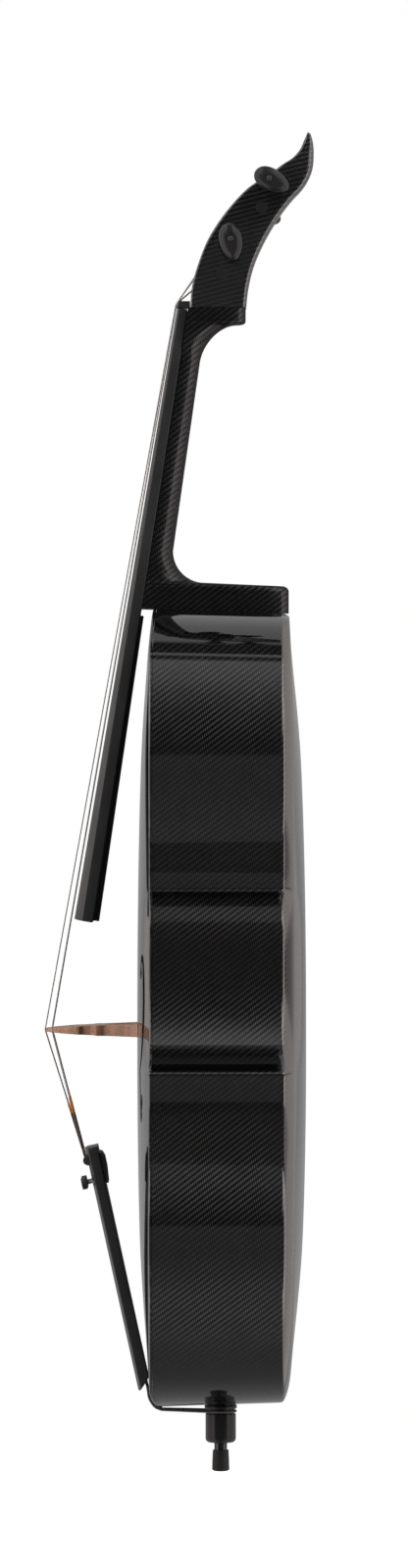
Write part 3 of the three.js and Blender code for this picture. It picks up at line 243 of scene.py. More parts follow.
camera = add_object("camera", bpy.data.cameras.new("camera"))
camera.location = (CAMERA_DISTANCE, VIEW_CENTRE_Y, VIEW_CENTRE_Z)
camera.rotation_euler = (math.pi / 2, 0, math.pi / 2)
camera.data.sensor_width = SENSOR_WIDTH
camera.data.lens = SENSOR_WIDTH * CAMERA_DISTANCE / VIEW_HEIGHT
bpy.context.scene.camera = camera


# Meshes

SHARP_ANGLE = math.radians(32)


def edit(mesh, work):
    """Does some work on the mesh in its editable form."""
    build = bmesh.new()
    build.from_mesh(mesh)
    work(build)
    build.to_mesh(mesh)
    build.free()


def raw_mesh(name, points, faces):
    """A mesh from points in millimetres, with its faces turned outwards."""
    mesh = bpy.data.meshes.new(name)
    mesh.from_pydata([Vector(p) * METRES for p in points], [], faces)
    edit(mesh, lambda build: bmesh.ops.recalc_face_normals(build, faces=build.faces))
    return mesh


def dress(name, solid, material, replaced=(), body="instrument"):
    """A smooth-shaded piece with its creases kept, from a mesh or from points and faces."""
    mesh = raw_mesh(name, *solid) if isinstance(solid, tuple) else solid
    mesh.shade_smooth()
    mesh.set_sharp_from_angle(angle=SHARP_ANGLE)
    mesh.materials.append(material)
    piece = add_object(name, mesh)
    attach(piece, body)
    if replaced:
        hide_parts(*replaced)


def loft(rings, ladder=True):
    """Solid through rings of points. A ladder cap has rungs between the points left and right of x = 0."""
    count = len(rings[0])
    last = (len(rings) - 1) * count
    faces = []
    for a in range(last):
        b = a + 1 if (a + 1) % count else a + 1 - count
        faces.append((a, b, b + count, a + count))
    caps = [tuple(range(count))]
    if ladder:
        rungs = [(i, i + 1, count - i - 1, (count - i) % count) for i in range(count // 2)]
        caps = [tuple(dict.fromkeys(rung)) for rung in rungs]
    faces += [cap[::-1] for cap in caps]
    faces += [tuple(i + last for i in cap) for cap in caps]
    return [p for ring in rings for p in ring], faces


def mirrored(half):
    """A whole ring from its right half, whose first and last points lie on x = 0."""
    return half + [(-x, *rest) for x, *rest in half[-2:0:-1]]


def cut_mesh(solid, cutters, mode="DIFFERENCE"):
    """The solid less its cutters, as a mesh."""
    target = add_object("cut", raw_mesh("cut", *solid))
    tools = [add_object("cutter", raw_mesh("cutter", *cutter)) for cutter in cutters]
    for tool in tools:
        modifier = target.modifiers.new("cut", "BOOLEAN")
        modifier.operation = mode
        modifier.solver = "EXACT"
        modifier.object = tool
    graph = bpy.context.evaluated_depsgraph_get()
    result = bpy.data.meshes.new_from_object(target.evaluated_get(graph))
    for extra in [target, *tools]:
        bpy.data.objects.remove(extra)
    return result


AXIS_TURNS = {
    "x": Matrix(((0, 0, 1), (0, 1, 0), (-1, 0, 0))),
    "y": Matrix(((1, 0, 0), (0, 0, 1), (0, -1, 0))),
    "z": Matrix.Identity(3),
}


def turned(profile, steps, axis="z", centre=(0, 0, 0)):
    """Solid of revolution from (radius, height) pairs that start and end on the axis, or close."""
    points, faces, rows = [], [], []
    for radius, height in profile:
        count = steps if radius else 1
        rows.append(range(len(points), len(points) + count))
        for k in range(count):
            angle = 2 * math.pi * k / steps
            points.append((radius * math.cos(angle), radius * math.sin(angle), height))
    pairs = list(zip(rows, rows[1:]))
    if profile[0][0] > 0:
        pairs.append((rows[-1], rows[0]))
    for low, high in pairs:
        for k in range(steps):
            ways = ((low, k), (low, k + 1), (high, k + 1), (high, k))
            face = tuple(dict.fromkeys(row[i % len(row)] for row, i in ways))
            if len(face) > 2:
                faces.append(face)
    return [tuple(AXIS_TURNS[axis] @ Vector(p) + Vector(centre)) for p in points], faces


def cylinder(radius, low, high, steps, axis, centre):
    return turned(((0, low), (radius, low), (radius, high), (0, high)), steps, axis, centre)


def box_solid(low, high):
    (x0, y0, z0), (x1, y1, z1) = low, high
    return loft([[(x0, y0, z), (x1, y0, z), (x1, y1, z), (x0, y1, z)] for z in (z0, z1)], ladder=False)


def tube(path, radius, sides):
    """Round bar along a path of points, with flat ends."""
    rings = []
    normal = None
    for i, point in enumerate(path):
        heading = (Vector(path[min(i + 1, len(path) - 1)]) - Vector(path[max(i - 1, 0)])).normalized()
        if normal is None:
            normal = Vector((1, 0, 0)) if abs(heading.x) < 0.9 else Vector((0, 1, 0))
        normal = (normal - heading * normal.dot(heading)).normalized()
        side = heading.cross(normal)
        ring = []
        for k in range(sides):
            angle = 2 * math.pi * k / sides
            offset = normal * math.cos(angle) + side * math.sin(angle)
            ring.append(tuple(Vector(point) + offset * radius))
        rings.append(ring)
    return loft(rings, ladder=False)


def spline(points, t):
    """Point at share t of a smooth curve through the points given."""
    last = len(points) - 1
    place = clamp(t, 0, 1) * last
    i = min(int(place), last - 1)
    u = place - i
    weights = (
        -0.5 * u + u * u - 0.5 * u ** 3,
        1 - 2.5 * u * u + 1.5 * u ** 3,
        0.5 * u + 2 * u * u - 1.5 * u ** 3,
        -0.5 * u * u + 0.5 * u ** 3,
    )
    around = [points[clamp(i + k, 0, last)] for k in (-1, 0, 1, 2)]
    return tuple(sum(w * c for w, c in zip(weights, values)) for values in zip(*around))


def bevel_mesh(mesh, width, segments=2, angle=40):
    """Rounds the mesh's creases."""
    def work(build):
        bmesh.ops.remove_doubles(build, verts=build.verts, dist=WELD * METRES)
        inner = [edge for edge in build.edges if len(edge.link_faces) == 2]
        sharp = [edge for edge in inner if edge.calc_face_angle(0) > math.radians(angle)]
        bmesh.ops.bevel(build, geom=sharp, offset=width * METRES, segments=segments, affect="EDGES",
                        profile=0.5, clamp_overlap=True)
    edit(mesh, work)


# Materials

CLOTH_RELIEF = 0.3
GRAIN_RELIEF = 0.06
WOOD_RELIEF = 0.2
WINDING_RELIEF = 0.1
BRAID_RELIEF = 0.2
RUBBER_RELIEF = 0.1
TOW_WIDTH = 1.5
FIBRES_PER_TOW = 7
WOUND_PITCH = 0.9
PLAIN_PITCH = 0.35
STEEL_PITCH = 0.5
SILK_PITCH = 0.8
BRAID_PITCH = 1.6


def colour(base, share=1):
    return (*(c * share for c in base), 1)


class Value:
    """A node's output, so that sums of outputs read as sums."""

    def __init__(self, nodes, socket):
        self.nodes = nodes
        self.socket = socket

    def __add__(self, other):
        return self.nodes.math("ADD", self, other)

    def __sub__(self, other):
        return self.nodes.math("SUBTRACT", self, other)

    def __rsub__(self, other):
        return self.nodes.math("SUBTRACT", other, self)

    def __mul__(self, other):
        return self.nodes.math("MULTIPLY", self, other)


class Nodes:
    """Builds the node tree of a material or a world."""

    def __init__(self, owner):
        owner.use_nodes = True
        self.owner = owner
        self.tree = owner.node_tree
        self.shader = self.tree.nodes.get("Principled BSDF")

    def put(self, inputs, node):
        """Links outputs to the node's inputs, by name or number, and sets plain values on the others."""
        for key, value in inputs.items():
            if isinstance(value, Value):
                self.tree.links.new(value.socket, node.inputs[key])
            else:
                node.inputs[key].default_value = value

    def add(self, kind, inputs, **settings):
        node = self.tree.nodes.new(kind)
        for key, value in settings.items():
            setattr(node, key, value)
        self.put(inputs, node)
        return node

    def value(self, kind, inputs, output=0, **settings):
        return Value(self, self.add(kind, inputs, **settings).outputs[output])

    def math(self, operation, *values):
        return self.value("ShaderNodeMath", dict(enumerate(values)), operation=operation)

    def mix(self, share, low, high):
        return self.value("ShaderNodeMix", {"Factor": share, 6: low, 7: high}, 2, data_type="RGBA")

    def ramp(self, *numbers):
        """A smooth step: the value, where it begins and ends, and optionally what it leads from and to."""
        return self.value("ShaderNodeMapRange", dict(enumerate(numbers)), interpolation_type="SMOOTHSTEP")

    def place(self):
        """Position on the object, in metres."""
        return self.value("ShaderNodeTexCoord", {}, "Object")

    def split(self, value):
        return [Value(self, output) for output in self.add("ShaderNodeSeparateXYZ", {0: value}).outputs]

    def noise(self, scale, detail=3, stretch=(1, 1, 1)):
        mapped = self.value("ShaderNodeMapping", {"Vector": self.place(), "Scale": stretch})
        return self.value("ShaderNodeTexNoise", {"Vector": mapped, "Scale": scale, "Detail": detail}, "Fac")

    def looks(self, inputs, height, strength, relief):
        """Puts the inputs and a bump on the shader, and gives the material."""
        bump = {"Height": height, "Strength": strength, "Distance": relief * METRES}
        self.put({**inputs, "Normal": self.value("ShaderNodeBump", bump)}, self.shader)
        return self.owner

    def show(self, share):
        """Lets the surface show by this share, and makes it clear for the rest."""
        shown = Value(self, self.shader.outputs[0])
        clear = self.value("ShaderNodeBsdfTransparent", {})
        mixed = self.value("ShaderNodeMixShader", {0: share, 1: clear, 2: shown})
        self.put({"Surface": mixed}, self.tree.nodes["Material Output"])


def carbon(name, across="y", turn=0, light=0.021, dark=0.004, coat=1, gloss=0.03):
    """Coated 2 by 2 twill. Its tows run along the way named and along z, turned by some degrees. On faces
    that look forwards or backwards the cloth is laid across x instead.
    """
    n = Nodes(bpy.data.materials.new(name))
    axes = dict(zip("xyz", n.split(n.place())))
    facing = n.split(n.value("ShaderNodeNewGeometry", {}, "True Normal"))[1]
    flat = n.math("GREATER_THAN", n.math("ABSOLUTE", facing), 0.8)
    along = flat * axes["x"] + (1 - flat) * axes[across]
    rise = axes["z"]
    cos, sin = math.cos(math.radians(turn)), math.sin(math.radians(turn))
    tows = 1 / (TOW_WIDTH * METRES)
    u = (along * cos + rise * sin) * tows
    v = (rise * cos - along * sin) * tows
    # A warp tow lies on top where its column less its row is at one of two places in four.
    warp = n.math("LESS_THAN", n.math("FLOORED_MODULO", n.math("FLOOR", u) - n.math("FLOOR", v), 4), 1.5)
    weft = 1 - warp
    rounds, fibres = [], []
    for way in (u, v):
        inside = n.math("FRACT", way) - 0.5
        rounds.append(1 - inside * inside * 3.4)
        fibres.append(n.math("SINE", way * (2 * math.pi * FIBRES_PER_TOW)))
    rounded = rounds[0] * warp + rounds[1] * weft
    fibre = fibres[0] * warp + fibres[1] * weft
    # Painted sheen: warp tows take the light tint in place of the fibres' glint, brightest at each tow's
    # crown; the noise only varies it at random.
    level = warp * n.ramp(rounded, 0.2, 1, 0.25, 1) * n.ramp(n.noise(46, 2), 0.25, 0.75, 0.72, 1.12)
    return n.looks({
        "Base Color": n.mix(level, colour((dark, dark, dark * 1.04)), colour((light, light, light * 1.03))),
        "Metallic": 1,
        "Specular Tint": colour((0.08, 0.08, 0.08)),
        "Roughness": weft * 0.14 + 0.36,
        "Coat Weight": coat,
        "Coat Roughness": gloss,
        "Coat IOR": 1.5,
    }, rounded + fibre * 0.12, 0.3, CLOTH_RELIEF)


def satin(name, base, rough, sheen=0.3, grain=900, relief=GRAIN_RELIEF, spread=0.35):
    """Moulded or turned composite with a fine mottled grain and rubbed patches."""
    n = Nodes(bpy.data.materials.new(name))
    broad = n.noise(28)
    return n.looks({
        "Base Color": n.mix(broad, colour(base, 1 - spread), colour(base, 1 + spread)),
        "Roughness": n.ramp(broad, 0.25, 0.75, rough - 0.07, rough + 0.07),
        "Specular IOR Level": sheen,
    }, n.noise(grain, 2), 0.3, relief)


def wood(name, pale, deep, flecks=True, stretch=(1, 1, 0.08)):
    """Bare wood: growth lines along the stretched way, and short flecks."""
    n = Nodes(bpy.data.materials.new(name))
    lines = n.noise(260, 4, stretch)
    blend = lines * 0.6 + n.noise(34, 3, stretch) * 0.4
    tint = n.mix(n.ramp(blend, 0.38, 0.62), colour(deep), colour(pale))
    if flecks:
        fleck = n.ramp(n.noise(620, 2, (1, 0.22, 1)), 0.56, 0.66)
        tint = n.mix(fleck * 0.55, tint, colour(deep, 0.45))
    return n.looks({"Base Color": tint, "Roughness": 0.5}, lines, 0.35, WOOD_RELIEF)


def wound_metal(name, base, pitch):
    """Metal wire with a fine winding round it, and painted shade that darkens the grooves between its turns.
    """
    n = Nodes(bpy.data.materials.new(name))
    turns = n.math("SINE", n.split(n.place())[2] * (2 * math.pi / (pitch * METRES)))
    return n.looks({
        # Painted shade: where the winding's relief is low, the tint drops to the darker share.
        "Base Color": n.mix(n.ramp(turns, -1, 1), colour(base, 0.35), colour(base)),
        "Metallic": 1,
        "Roughness": n.ramp(n.noise(300), 0.3, 0.7, 0.3, 0.45),
    }, turns, 0.4, WINDING_RELIEF)


def cord_weave(name, base, pitch):
    """Braided cord, with painted shade that darkens the braid where its relief is low."""
    n = Nodes(bpy.data.materials.new(name))
    x, y, z = n.split(n.place())
    waves = [n.math("SINE", way * (2 * math.pi / (pitch * METRES))) for way in (x + (y + z), y + z - x)]
    braid = waves[0] * waves[1]
    # Painted shade: the braid's hollows take the darker share of its colour.
    tint = n.mix(n.ramp(braid, -1, 1), colour(base, 0.5), colour(base))
    return n.looks({"Base Color": tint, "Roughness": 0.75}, braid, 0.5, BRAID_RELIEF)


# In each carbon below, the light tint is the painted sheen of its weave and the dark tint is the cloth's own
# black.
rib_carbon = carbon("rib_carbon", "y", -8)
face_carbon = carbon("face_carbon", "x", 45)
head_carbon = carbon("head_carbon", "y", -30, 0.03, 0.005, 0.75, 0.07)
neck_carbon = carbon("neck_carbon", "y", -8, 0.022, 0.003, 0.18, 0.16)
rod_carbon = carbon("rod_carbon", "y", 45, coat=0.3)
bar_carbon = carbon("bar_carbon", "y", 0, 0.1, 0.03, 1, 0.35)
board_black = satin("board_black", (0.0105, 0.0105, 0.011), 0.4, 0.14)
satin_black = satin("satin_black", (0.0085, 0.0085, 0.009), 0.38, 0.2)
pin_black = satin("pin_black", (0.006, 0.006, 0.0063), 0.3, 0.1)
peg_black = satin("peg_black", (0.0075, 0.0075, 0.0078), 0.3, 0.12)
rubber_black = satin("rubber_black", (0.006, 0.006, 0.006), 0.62, 0.12, 500, RUBBER_RELIEF)
block_grey = satin("block_grey", (0.05, 0.05, 0.05), 0.6)
maple = wood("maple", (0.27, 0.145, 0.092), (0.175, 0.09, 0.056))
spruce = wood("spruce", (0.55, 0.38, 0.2), (0.4, 0.25, 0.11), False, (1, 0.06, 1))
string_wound = wound_metal("string_wound", (0.22, 0.215, 0.21), WOUND_PITCH)
string_plain = wound_metal("string_plain", (0.35, 0.345, 0.335), PLAIN_PITCH)
pin_steel = wound_metal("pin_steel", (0.4, 0.4, 0.41), STEEL_PITCH)
silk_yellow = cord_weave("silk_yellow", (0.55, 0.32, 0.02), SILK_PITCH)
silk_orange = cord_weave("silk_orange", (0.42, 0.17, 0.03), SILK_PITCH)
silk_dark = cord_weave("silk_dark", (0.05, 0.035, 0.03), SILK_PITCH)
cord_black = cord_weave("cord_black", (0.012, 0.012, 0.012), BRAID_PITCH)


# Body outline, arching and rings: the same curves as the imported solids, stepped much finer

BOUT_MIDDLE_SHARE = 0.226
UPPER_MIDDLE_SHARE = 0.797
SPINE_LOW = BODY_BOTTOM + BOUT_MIDDLE_SHARE * BODY_LENGTH
SPINE_HIGH = BODY_BOTTOM + UPPER_MIDDLE_SHARE * BODY_LENGTH
# The outline's curves: steps, shares of the widths, shares of the body's length, and the widths.
CURVE_SHARES = (
    (70, (0, 0.43, 1, 1), (0, 0, 0.073, BOUT_MIDDLE_SHARE), (LOWER_BOUT,) * 4),
    (44, (1, 1, 0.944, 1), (BOUT_MIDDLE_SHARE, 0.308, 0.348, 0.422), (LOWER_BOUT,) * 2 + (LOWER_CORNER,) * 2),
    (44, (0.978, 0.84, 1.02, 1), (0.4295, 0.438, 0.467, 0.537), (LOWER_CORNER,) * 2 + (WAIST,) * 2),
    (44, (1, 0.98, 0.84, 0.974), (0.537, 0.594, 0.63, 0.6465), (WAIST,) * 2 + (UPPER_CORNER,) * 2),
    (44, (1, 1.01, 1, 1), (0.6545, 0.693, 0.724, UPPER_MIDDLE_SHARE),
     (UPPER_CORNER,) * 2 + (UPPER_BOUT,) * 2),
    (60, (1, 1, 0.64, 1), (UPPER_MIDDLE_SHARE, 0.916, 0.998, 1), (UPPER_BOUT,) * 3 + (HEEL_SEAT,)),
)
CORNER_TIP_STEPS = 6


def bezier(controls, t):
    u = 1 - t
    weights = (u ** 3, 3 * u * u * t, 3 * u * t * t, t ** 3)
    return tuple(sum(w * c[i] for w, c in zip(weights, controls)) for i in (0, 1))


def corner_tip(before, start, end, after):
    """Points that round a corner between two curves, tangent to both."""
    reach = math.dist(start, end) * 0.5
    a, b = [tuple(Vector(tip) + (Vector(tip) - Vector(back)).normalized() * reach * 0.8)
            for tip, back in ((start, before), (end, after))]
    return [bezier((start, a, b, end), k / CORNER_TIP_STEPS) for k in range(1, CORNER_TIP_STEPS)]


def half_outline():
    points = []
    for steps, width_shares, length_shares, widths in CURVE_SHARES:
        controls = [
            (w * width / 2, BODY_BOTTOM + along * BODY_LENGTH)
            for w, width, along in zip(width_shares, widths, length_shares)]
        curve = [bezier(controls, t) for t in span(0, 1, steps)]
        if points and math.dist(points[-1], curve[0]) < GAP:
            curve = curve[1:]
        elif points:
            points += corner_tip(points[-2], points[-1], curve[0], curve[1])
        points += curve
    return points + [(0, BODY_TOP)]


OUTLINE = mirrored(half_outline())


def inward(point, inset, share):
    """A point of the outline moved in towards the spine, a line up the body's middle."""
    x, z = point
    middle = clamp(z, SPINE_LOW, SPINE_HIGH)
    t = 1 - (1 - inset / math.hypot(x, middle - z)) * (1 - share)
    return lerp(x, 0, t), lerp(z, middle, t)


ARCH_MIDDLE_SHARE = 0.47
ALONG_POWER = 2.3
ALONG_FALL = 0.8
ACROSS_POWER = 2.1


def arch_share(z, share):
    place = (z - BODY_BOTTOM) / BODY_LENGTH
    reach = ARCH_MIDDLE_SHARE if place < ARCH_MIDDLE_SHARE else 1 - ARCH_MIDDLE_SHARE
    away = min(abs(place - ARCH_MIDDLE_SHARE) / reach, 1)
    return (1 - away ** ALONG_POWER) ** ALONG_FALL * (1 - (1 - share) ** ACROSS_POWER)


def front_y(z, share):
    from_top = clamp(1 - (BODY_TOP - z) / TOP_END_BEND_LENGTH, 0, 1)
    from_bottom = clamp(1 - (z - BODY_BOTTOM) / BOTTOM_END_BEND_LENGTH, 0, 1)
    bend = TOP_END_BEND * from_top ** 2 + BOTTOM_END_BEND * (1 - math.sqrt(1 - from_bottom ** 2))
    return bend - FRONT_RIM - FRONT_ARCH * arch_share(z, share)


def ring_at(inset, share, depth_at):
    """The outline moved in by an inset and then by a share, which may change with height."""
    ring = []
    for point in OUTLINE:
        own_share = share(point[1]) if callable(share) else share
        x, z = inward(point, inset, own_share)
        ring.append((x, depth_at(z, own_share), z))
    return ring


ARCH_RINGS = 26
LAST_SHARE = 0.97
ARCH_SHARES = [LAST_SHARE * (k / ARCH_RINGS) ** 1.25 for k in range(1, ARCH_RINGS + 1)]
RIB_RINGS = 6
CREASE_RADIUS = 6
CREASE_TURN = math.radians(37)
CREASE_RINGS = 10
EDGE_START = math.radians(28)
EDGE_RINGS = 16
EDGE_SHARE = 0.15
HEEL_EDGE_SHARE = 0.02
HEEL_EDGE_LENGTH = 60
PLATE_EDGE_STEPS = 4


def rounded_share(z):
    """How far in the back's rounded edge reaches: wide along the bouts, narrow near the heel."""
    away = clamp((BODY_TOP - z) / HEEL_EDGE_LENGTH, 0, 1)
    return lerp(HEEL_EDGE_SHARE, EDGE_SHARE, away ** 1.5)


def seam_y(z):
    return front_y(z, 0) + PLATE_THICKNESS + GAP


def crease_at(angle, wall):
    """How far in and how far behind the ribs' edge the rounded crease has come."""
    return RIB_DRAFT + wall + CREASE_RADIUS * (1 - math.cos(angle)), CREASE_RADIUS * math.sin(angle)


def wall_rings(wall):
    """From the seam up the ribs, round the crease and the back's rounded edge, and on over the arch."""
    rings = []
    for t in span(0, 1, RIB_RINGS)[:-1]:
        rings.append(ring_at(wall + RIB_DRAFT * t, 0, lambda z, s: lerp(seam_y(z), BACK_RIM, t)))
    for angle in span(0, CREASE_TURN, CREASE_RINGS)[:-1]:
        inset, start = crease_at(angle, wall)
        rings.append(ring_at(inset, 0, lambda z, s: BACK_RIM + start))
    inset, start = crease_at(CREASE_TURN, wall)
    for angle in span(EDGE_START, math.pi / 2, EDGE_RINGS):
        along = 1 - math.cos(angle) / math.cos(EDGE_START)
        up = (math.sin(angle) - math.sin(EDGE_START)) / (1 - math.sin(EDGE_START))
        rise = lerp(start, BACK_EDGE_RISE - wall, up)
        rings.append(ring_at(
            inset, lambda z: rounded_share(z) * along,
            lambda z, s: BACK_RIM + rise + BACK_ARCH * arch_share(z, s)))
    back = BACK_RIM + BACK_EDGE_RISE - wall
    rings += [
        ring_at(inset, share, lambda z, s: back + BACK_ARCH * arch_share(z, s))
        for share in ARCH_SHARES if share > EDGE_SHARE]
    return rings


def front_rings(inset, shift):
    return [ring_at(inset, share, lambda z, s: front_y(z, s) + shift) for share in [*ARCH_SHARES[::-1], 0]]


STEM_SHARES = (
    (-0.173, 0.407), (-0.163, 0.467), (-0.12, 0.5), (-0.07, 0.467), (-0.043, 0.353), (-0.02, 0.187),
    (0, 0), (0.02, -0.18), (0.047, -0.347), (0.087, -0.46), (0.14, -0.49), (0.18, -0.447), (0.16, -0.387),
)
STEM_WIDTH_SHARES = (0.5, 0.5, 0.6, 0.8, 0.95, 1, 1, 1, 0.95, 0.85, 0.65, 0.55, 0.5)
STEM_STEPS = 90
NEARBY_SHARE = 0.01
EYE_STEPS = 40


def sound_hole(side):
    at = lambda share: (
        side * SOUND_HOLE_SPREAD / 2 + side * share[0] * SOUND_HOLE_LENGTH,
        BODY_BOTTOM + SOUND_HOLE_HEIGHT + share[1] * SOUND_HOLE_LENGTH)
    stem = [at(share) for share in STEM_SHARES]
    one_edge, other_edge = [], []
    for t in span(0, 1, STEM_STEPS):
        x, z = spline(stem, t)
        ahead, behind = spline(stem, t + NEARBY_SHARE), spline(stem, t - NEARBY_SHARE)
        run = Vector((ahead[0] - behind[0], ahead[1] - behind[1])).normalized()
        half = spline([(w,) for w in STEM_WIDTH_SHARES], t)[0] * SOUND_HOLE_WIDTH / 2
        one_edge.append((x - run.y * half, z + run.x * half))
        other_edge.insert(0, (x + run.y * half, z - run.x * half))
    low = -(FRONT_RIM + FRONT_ARCH + PLATE_THICKNESS)
    high = low + FRONT_RIM
    cutters = [loft([[(x, y, z) for x, z in one_edge + other_edge] for y in (low, high)], ladder=False)]
    for (x, z), radius in ((stem[0], UPPER_EYE_RADIUS), (stem[-1], LOWER_EYE_RADIUS)):
        cutters.append(cylinder(radius, low, high, EYE_STEPS, "y", (x, 0, z)))
    return cutters


def make_shell():
    solid = loft(wall_rings(0)[::-1] + wall_rings(SHELL_WALL))
    dress("shell_ribs_and_back", solid, rib_carbon, ["body_tub"])


def make_plate():
    rings = front_rings(PLATE_EDGE_ROUND, 0)
    for sin, cos, _ in quarter(PLATE_EDGE_STEPS, 1):
        drop = PLATE_EDGE_ROUND * (1 - cos)
        rings.append(ring_at(PLATE_EDGE_ROUND * (1 - sin), 0, lambda z, s: front_y(z, 0) + drop))
    rings.append(ring_at(0, 0, lambda z, s: front_y(z, 0) + PLATE_THICKNESS))
    rings += front_rings(SHELL_WALL, PLATE_THICKNESS)[::-1]
    mesh = cut_mesh(loft(rings), sound_hole(-1) + sound_hole(1))
    dress("front_plate", mesh, face_carbon, ["top_plate"])


make_shell()
make_plate()


# Fingerboard: its slope follows from the strings' run from the nut to the bridge

SEAM_Z = BODY_TOP + NECK_LENGTH
CROWN_START_Z = SEAM_Z - GAP
BRIDGE_Z = BODY_BOTTOM + BRIDGE_PLACE
BRIDGE_TOP_Y = front_y(BRIDGE_Z, 1) - BRIDGE_HEIGHT
BOARD_DROP = SEAM_Z - BRIDGE_Z - BOARD_TO_BRIDGE
STRING_SLOPE = (-NUT_REACH - NUT_RISE - BRIDGE_TOP_Y) / (SEAM_Z - BRIDGE_Z)
CROWN_END_Y = -NUT_REACH - NUT_RISE - STRING_SLOPE * BOARD_DROP + STRING_RUN_OVER_BOARD
BOARD_SLOPE = math.atan2(-NUT_REACH - CROWN_END_Y, BOARD_DROP)
BOARD_LENGTH = BOARD_DROP / math.cos(BOARD_SLOPE)
BOARD_EDGE = 1.2
END_ROUND = 0.7
EDGE_STEPS = 4
CROWN_STEPS = 10
BOARD_RINGS = 24
SPINE_RINGS = 12
SPINE_STEPS = 6


def board_point(place, x, rise):
    y = -NUT_REACH - place * math.sin(BOARD_SLOPE) - rise * math.cos(BOARD_SLOPE)
    z = CROWN_START_Z - place * math.cos(BOARD_SLOPE) + rise * math.sin(BOARD_SLOPE)
    return x, y, z


def sagitta(x):
    return x * x / (2 * BOARD_RADIUS)


def board_side(place):
    return lerp(BOARD_SIDE_NUT, BOARD_SIDE_END, place / BOARD_LENGTH)


def board_ring(place, shrink=0):
    edge_x = lerp(BOARD_WIDTH_NUT, BOARD_WIDTH_END, place / BOARD_LENGTH) / 2 - shrink - BOARD_EDGE
    low = shrink - board_side(place)
    high = -sagitta(edge_x) - shrink
    edge = BOARD_EDGE
    section = [(x, -sagitta(x) - shrink) for x in span(0, edge_x, CROWN_STEPS)]
    section += [(edge_x + edge * sin, high - edge * (1 - cos)) for sin, cos, _ in quarter(EDGE_STEPS, 1)]
    section += [(edge_x + edge * cos, low + edge * (1 - sin)) for sin, cos, _ in quarter(EDGE_STEPS)]
    section.append((0, low))
    return mirrored([board_point(place, *spot) for spot in section])


def spine_ring(place, t):
    half = lerp(SPINE_WIDTH_NECK, SPINE_WIDTH_END, t) / 2
    depth = lerp(SPINE_DEPTH_NECK, SPINE_DEPTH_END, t)
    under = -board_side(place)
    section = [(0, under + BOARD_EDGE), (half, under + BOARD_EDGE)]
    section += [(half - depth + depth * cos, under - depth * sin) for sin, cos, _ in quarter(SPINE_STEPS)]
    section.append((0, under - depth))
    return mirrored([board_point(place, *spot) for spot in section])


def make_fingerboard():
    places = [END_ROUND, *span(0, BOARD_LENGTH, BOARD_RINGS)[1:-1], BOARD_LENGTH - END_ROUND]
    rings = [board_ring(0, END_ROUND), *map(board_ring, places), board_ring(BOARD_LENGTH, END_ROUND)]
    dress("fingerboard_body", loft(rings), board_black, ["fingerboard"])
    start = NECK_LENGTH / math.cos(BOARD_SLOPE) + CUT_PAST
    rings = [spine_ring(lerp(start, BOARD_LENGTH - SPINE_SHORT, t), t) for t in span(0, 1, SPINE_RINGS)]
    dress("fingerboard_spine", loft(rings), satin_black)


make_fingerboard()


# Neck, shoulder and heel

NECK_TOP_Z = SEAM_Z - GAP
HEEL_BACK_Y = BACK_RIM + BACK_EDGE_RISE
SEAT_SHARE = RIB_DRAFT / (BACK_RIM - seam_y(BODY_TOP))
SHOULDER_LIP_SHARE = 0.25
SHOULDER_EASE_SHARE = 0.12
SHOULDER_NARROW_SHARE = 0.97
LEDGE_BACK_SHARE = 1.6
LEDGE_DROP_SHARE = 0.9
LEDGE_EDGE_SHARE = 2.3
# How square the sections are: 2 is an ellipse, and more fills its corners.
NECK_FULLNESS = 2.2
HEEL_FULLNESS = 2.5
LEDGE_FULLNESS = 3.6
SHOULDER_FULLNESS = 4.4
BLOCK_FULLNESS = 5
NECK_STEPS = 24
LIP_STEPS = 5
LEDGE_STEPS = 9
LEDGE_EDGE_STEPS = 7
NECK_SECTION_STEPS = 44


def neck_front_y(z):
    place = (CROWN_START_Z - z) / math.cos(BOARD_SLOPE)
    _, y, under_z = board_point(place, 0, -board_side(place) - GAP)
    slope = (BOARD_SIDE_END - BOARD_SIDE_NUT) / BOARD_LENGTH
    return y - (under_z - z) * math.tan(BOARD_SLOPE - math.atan(slope))


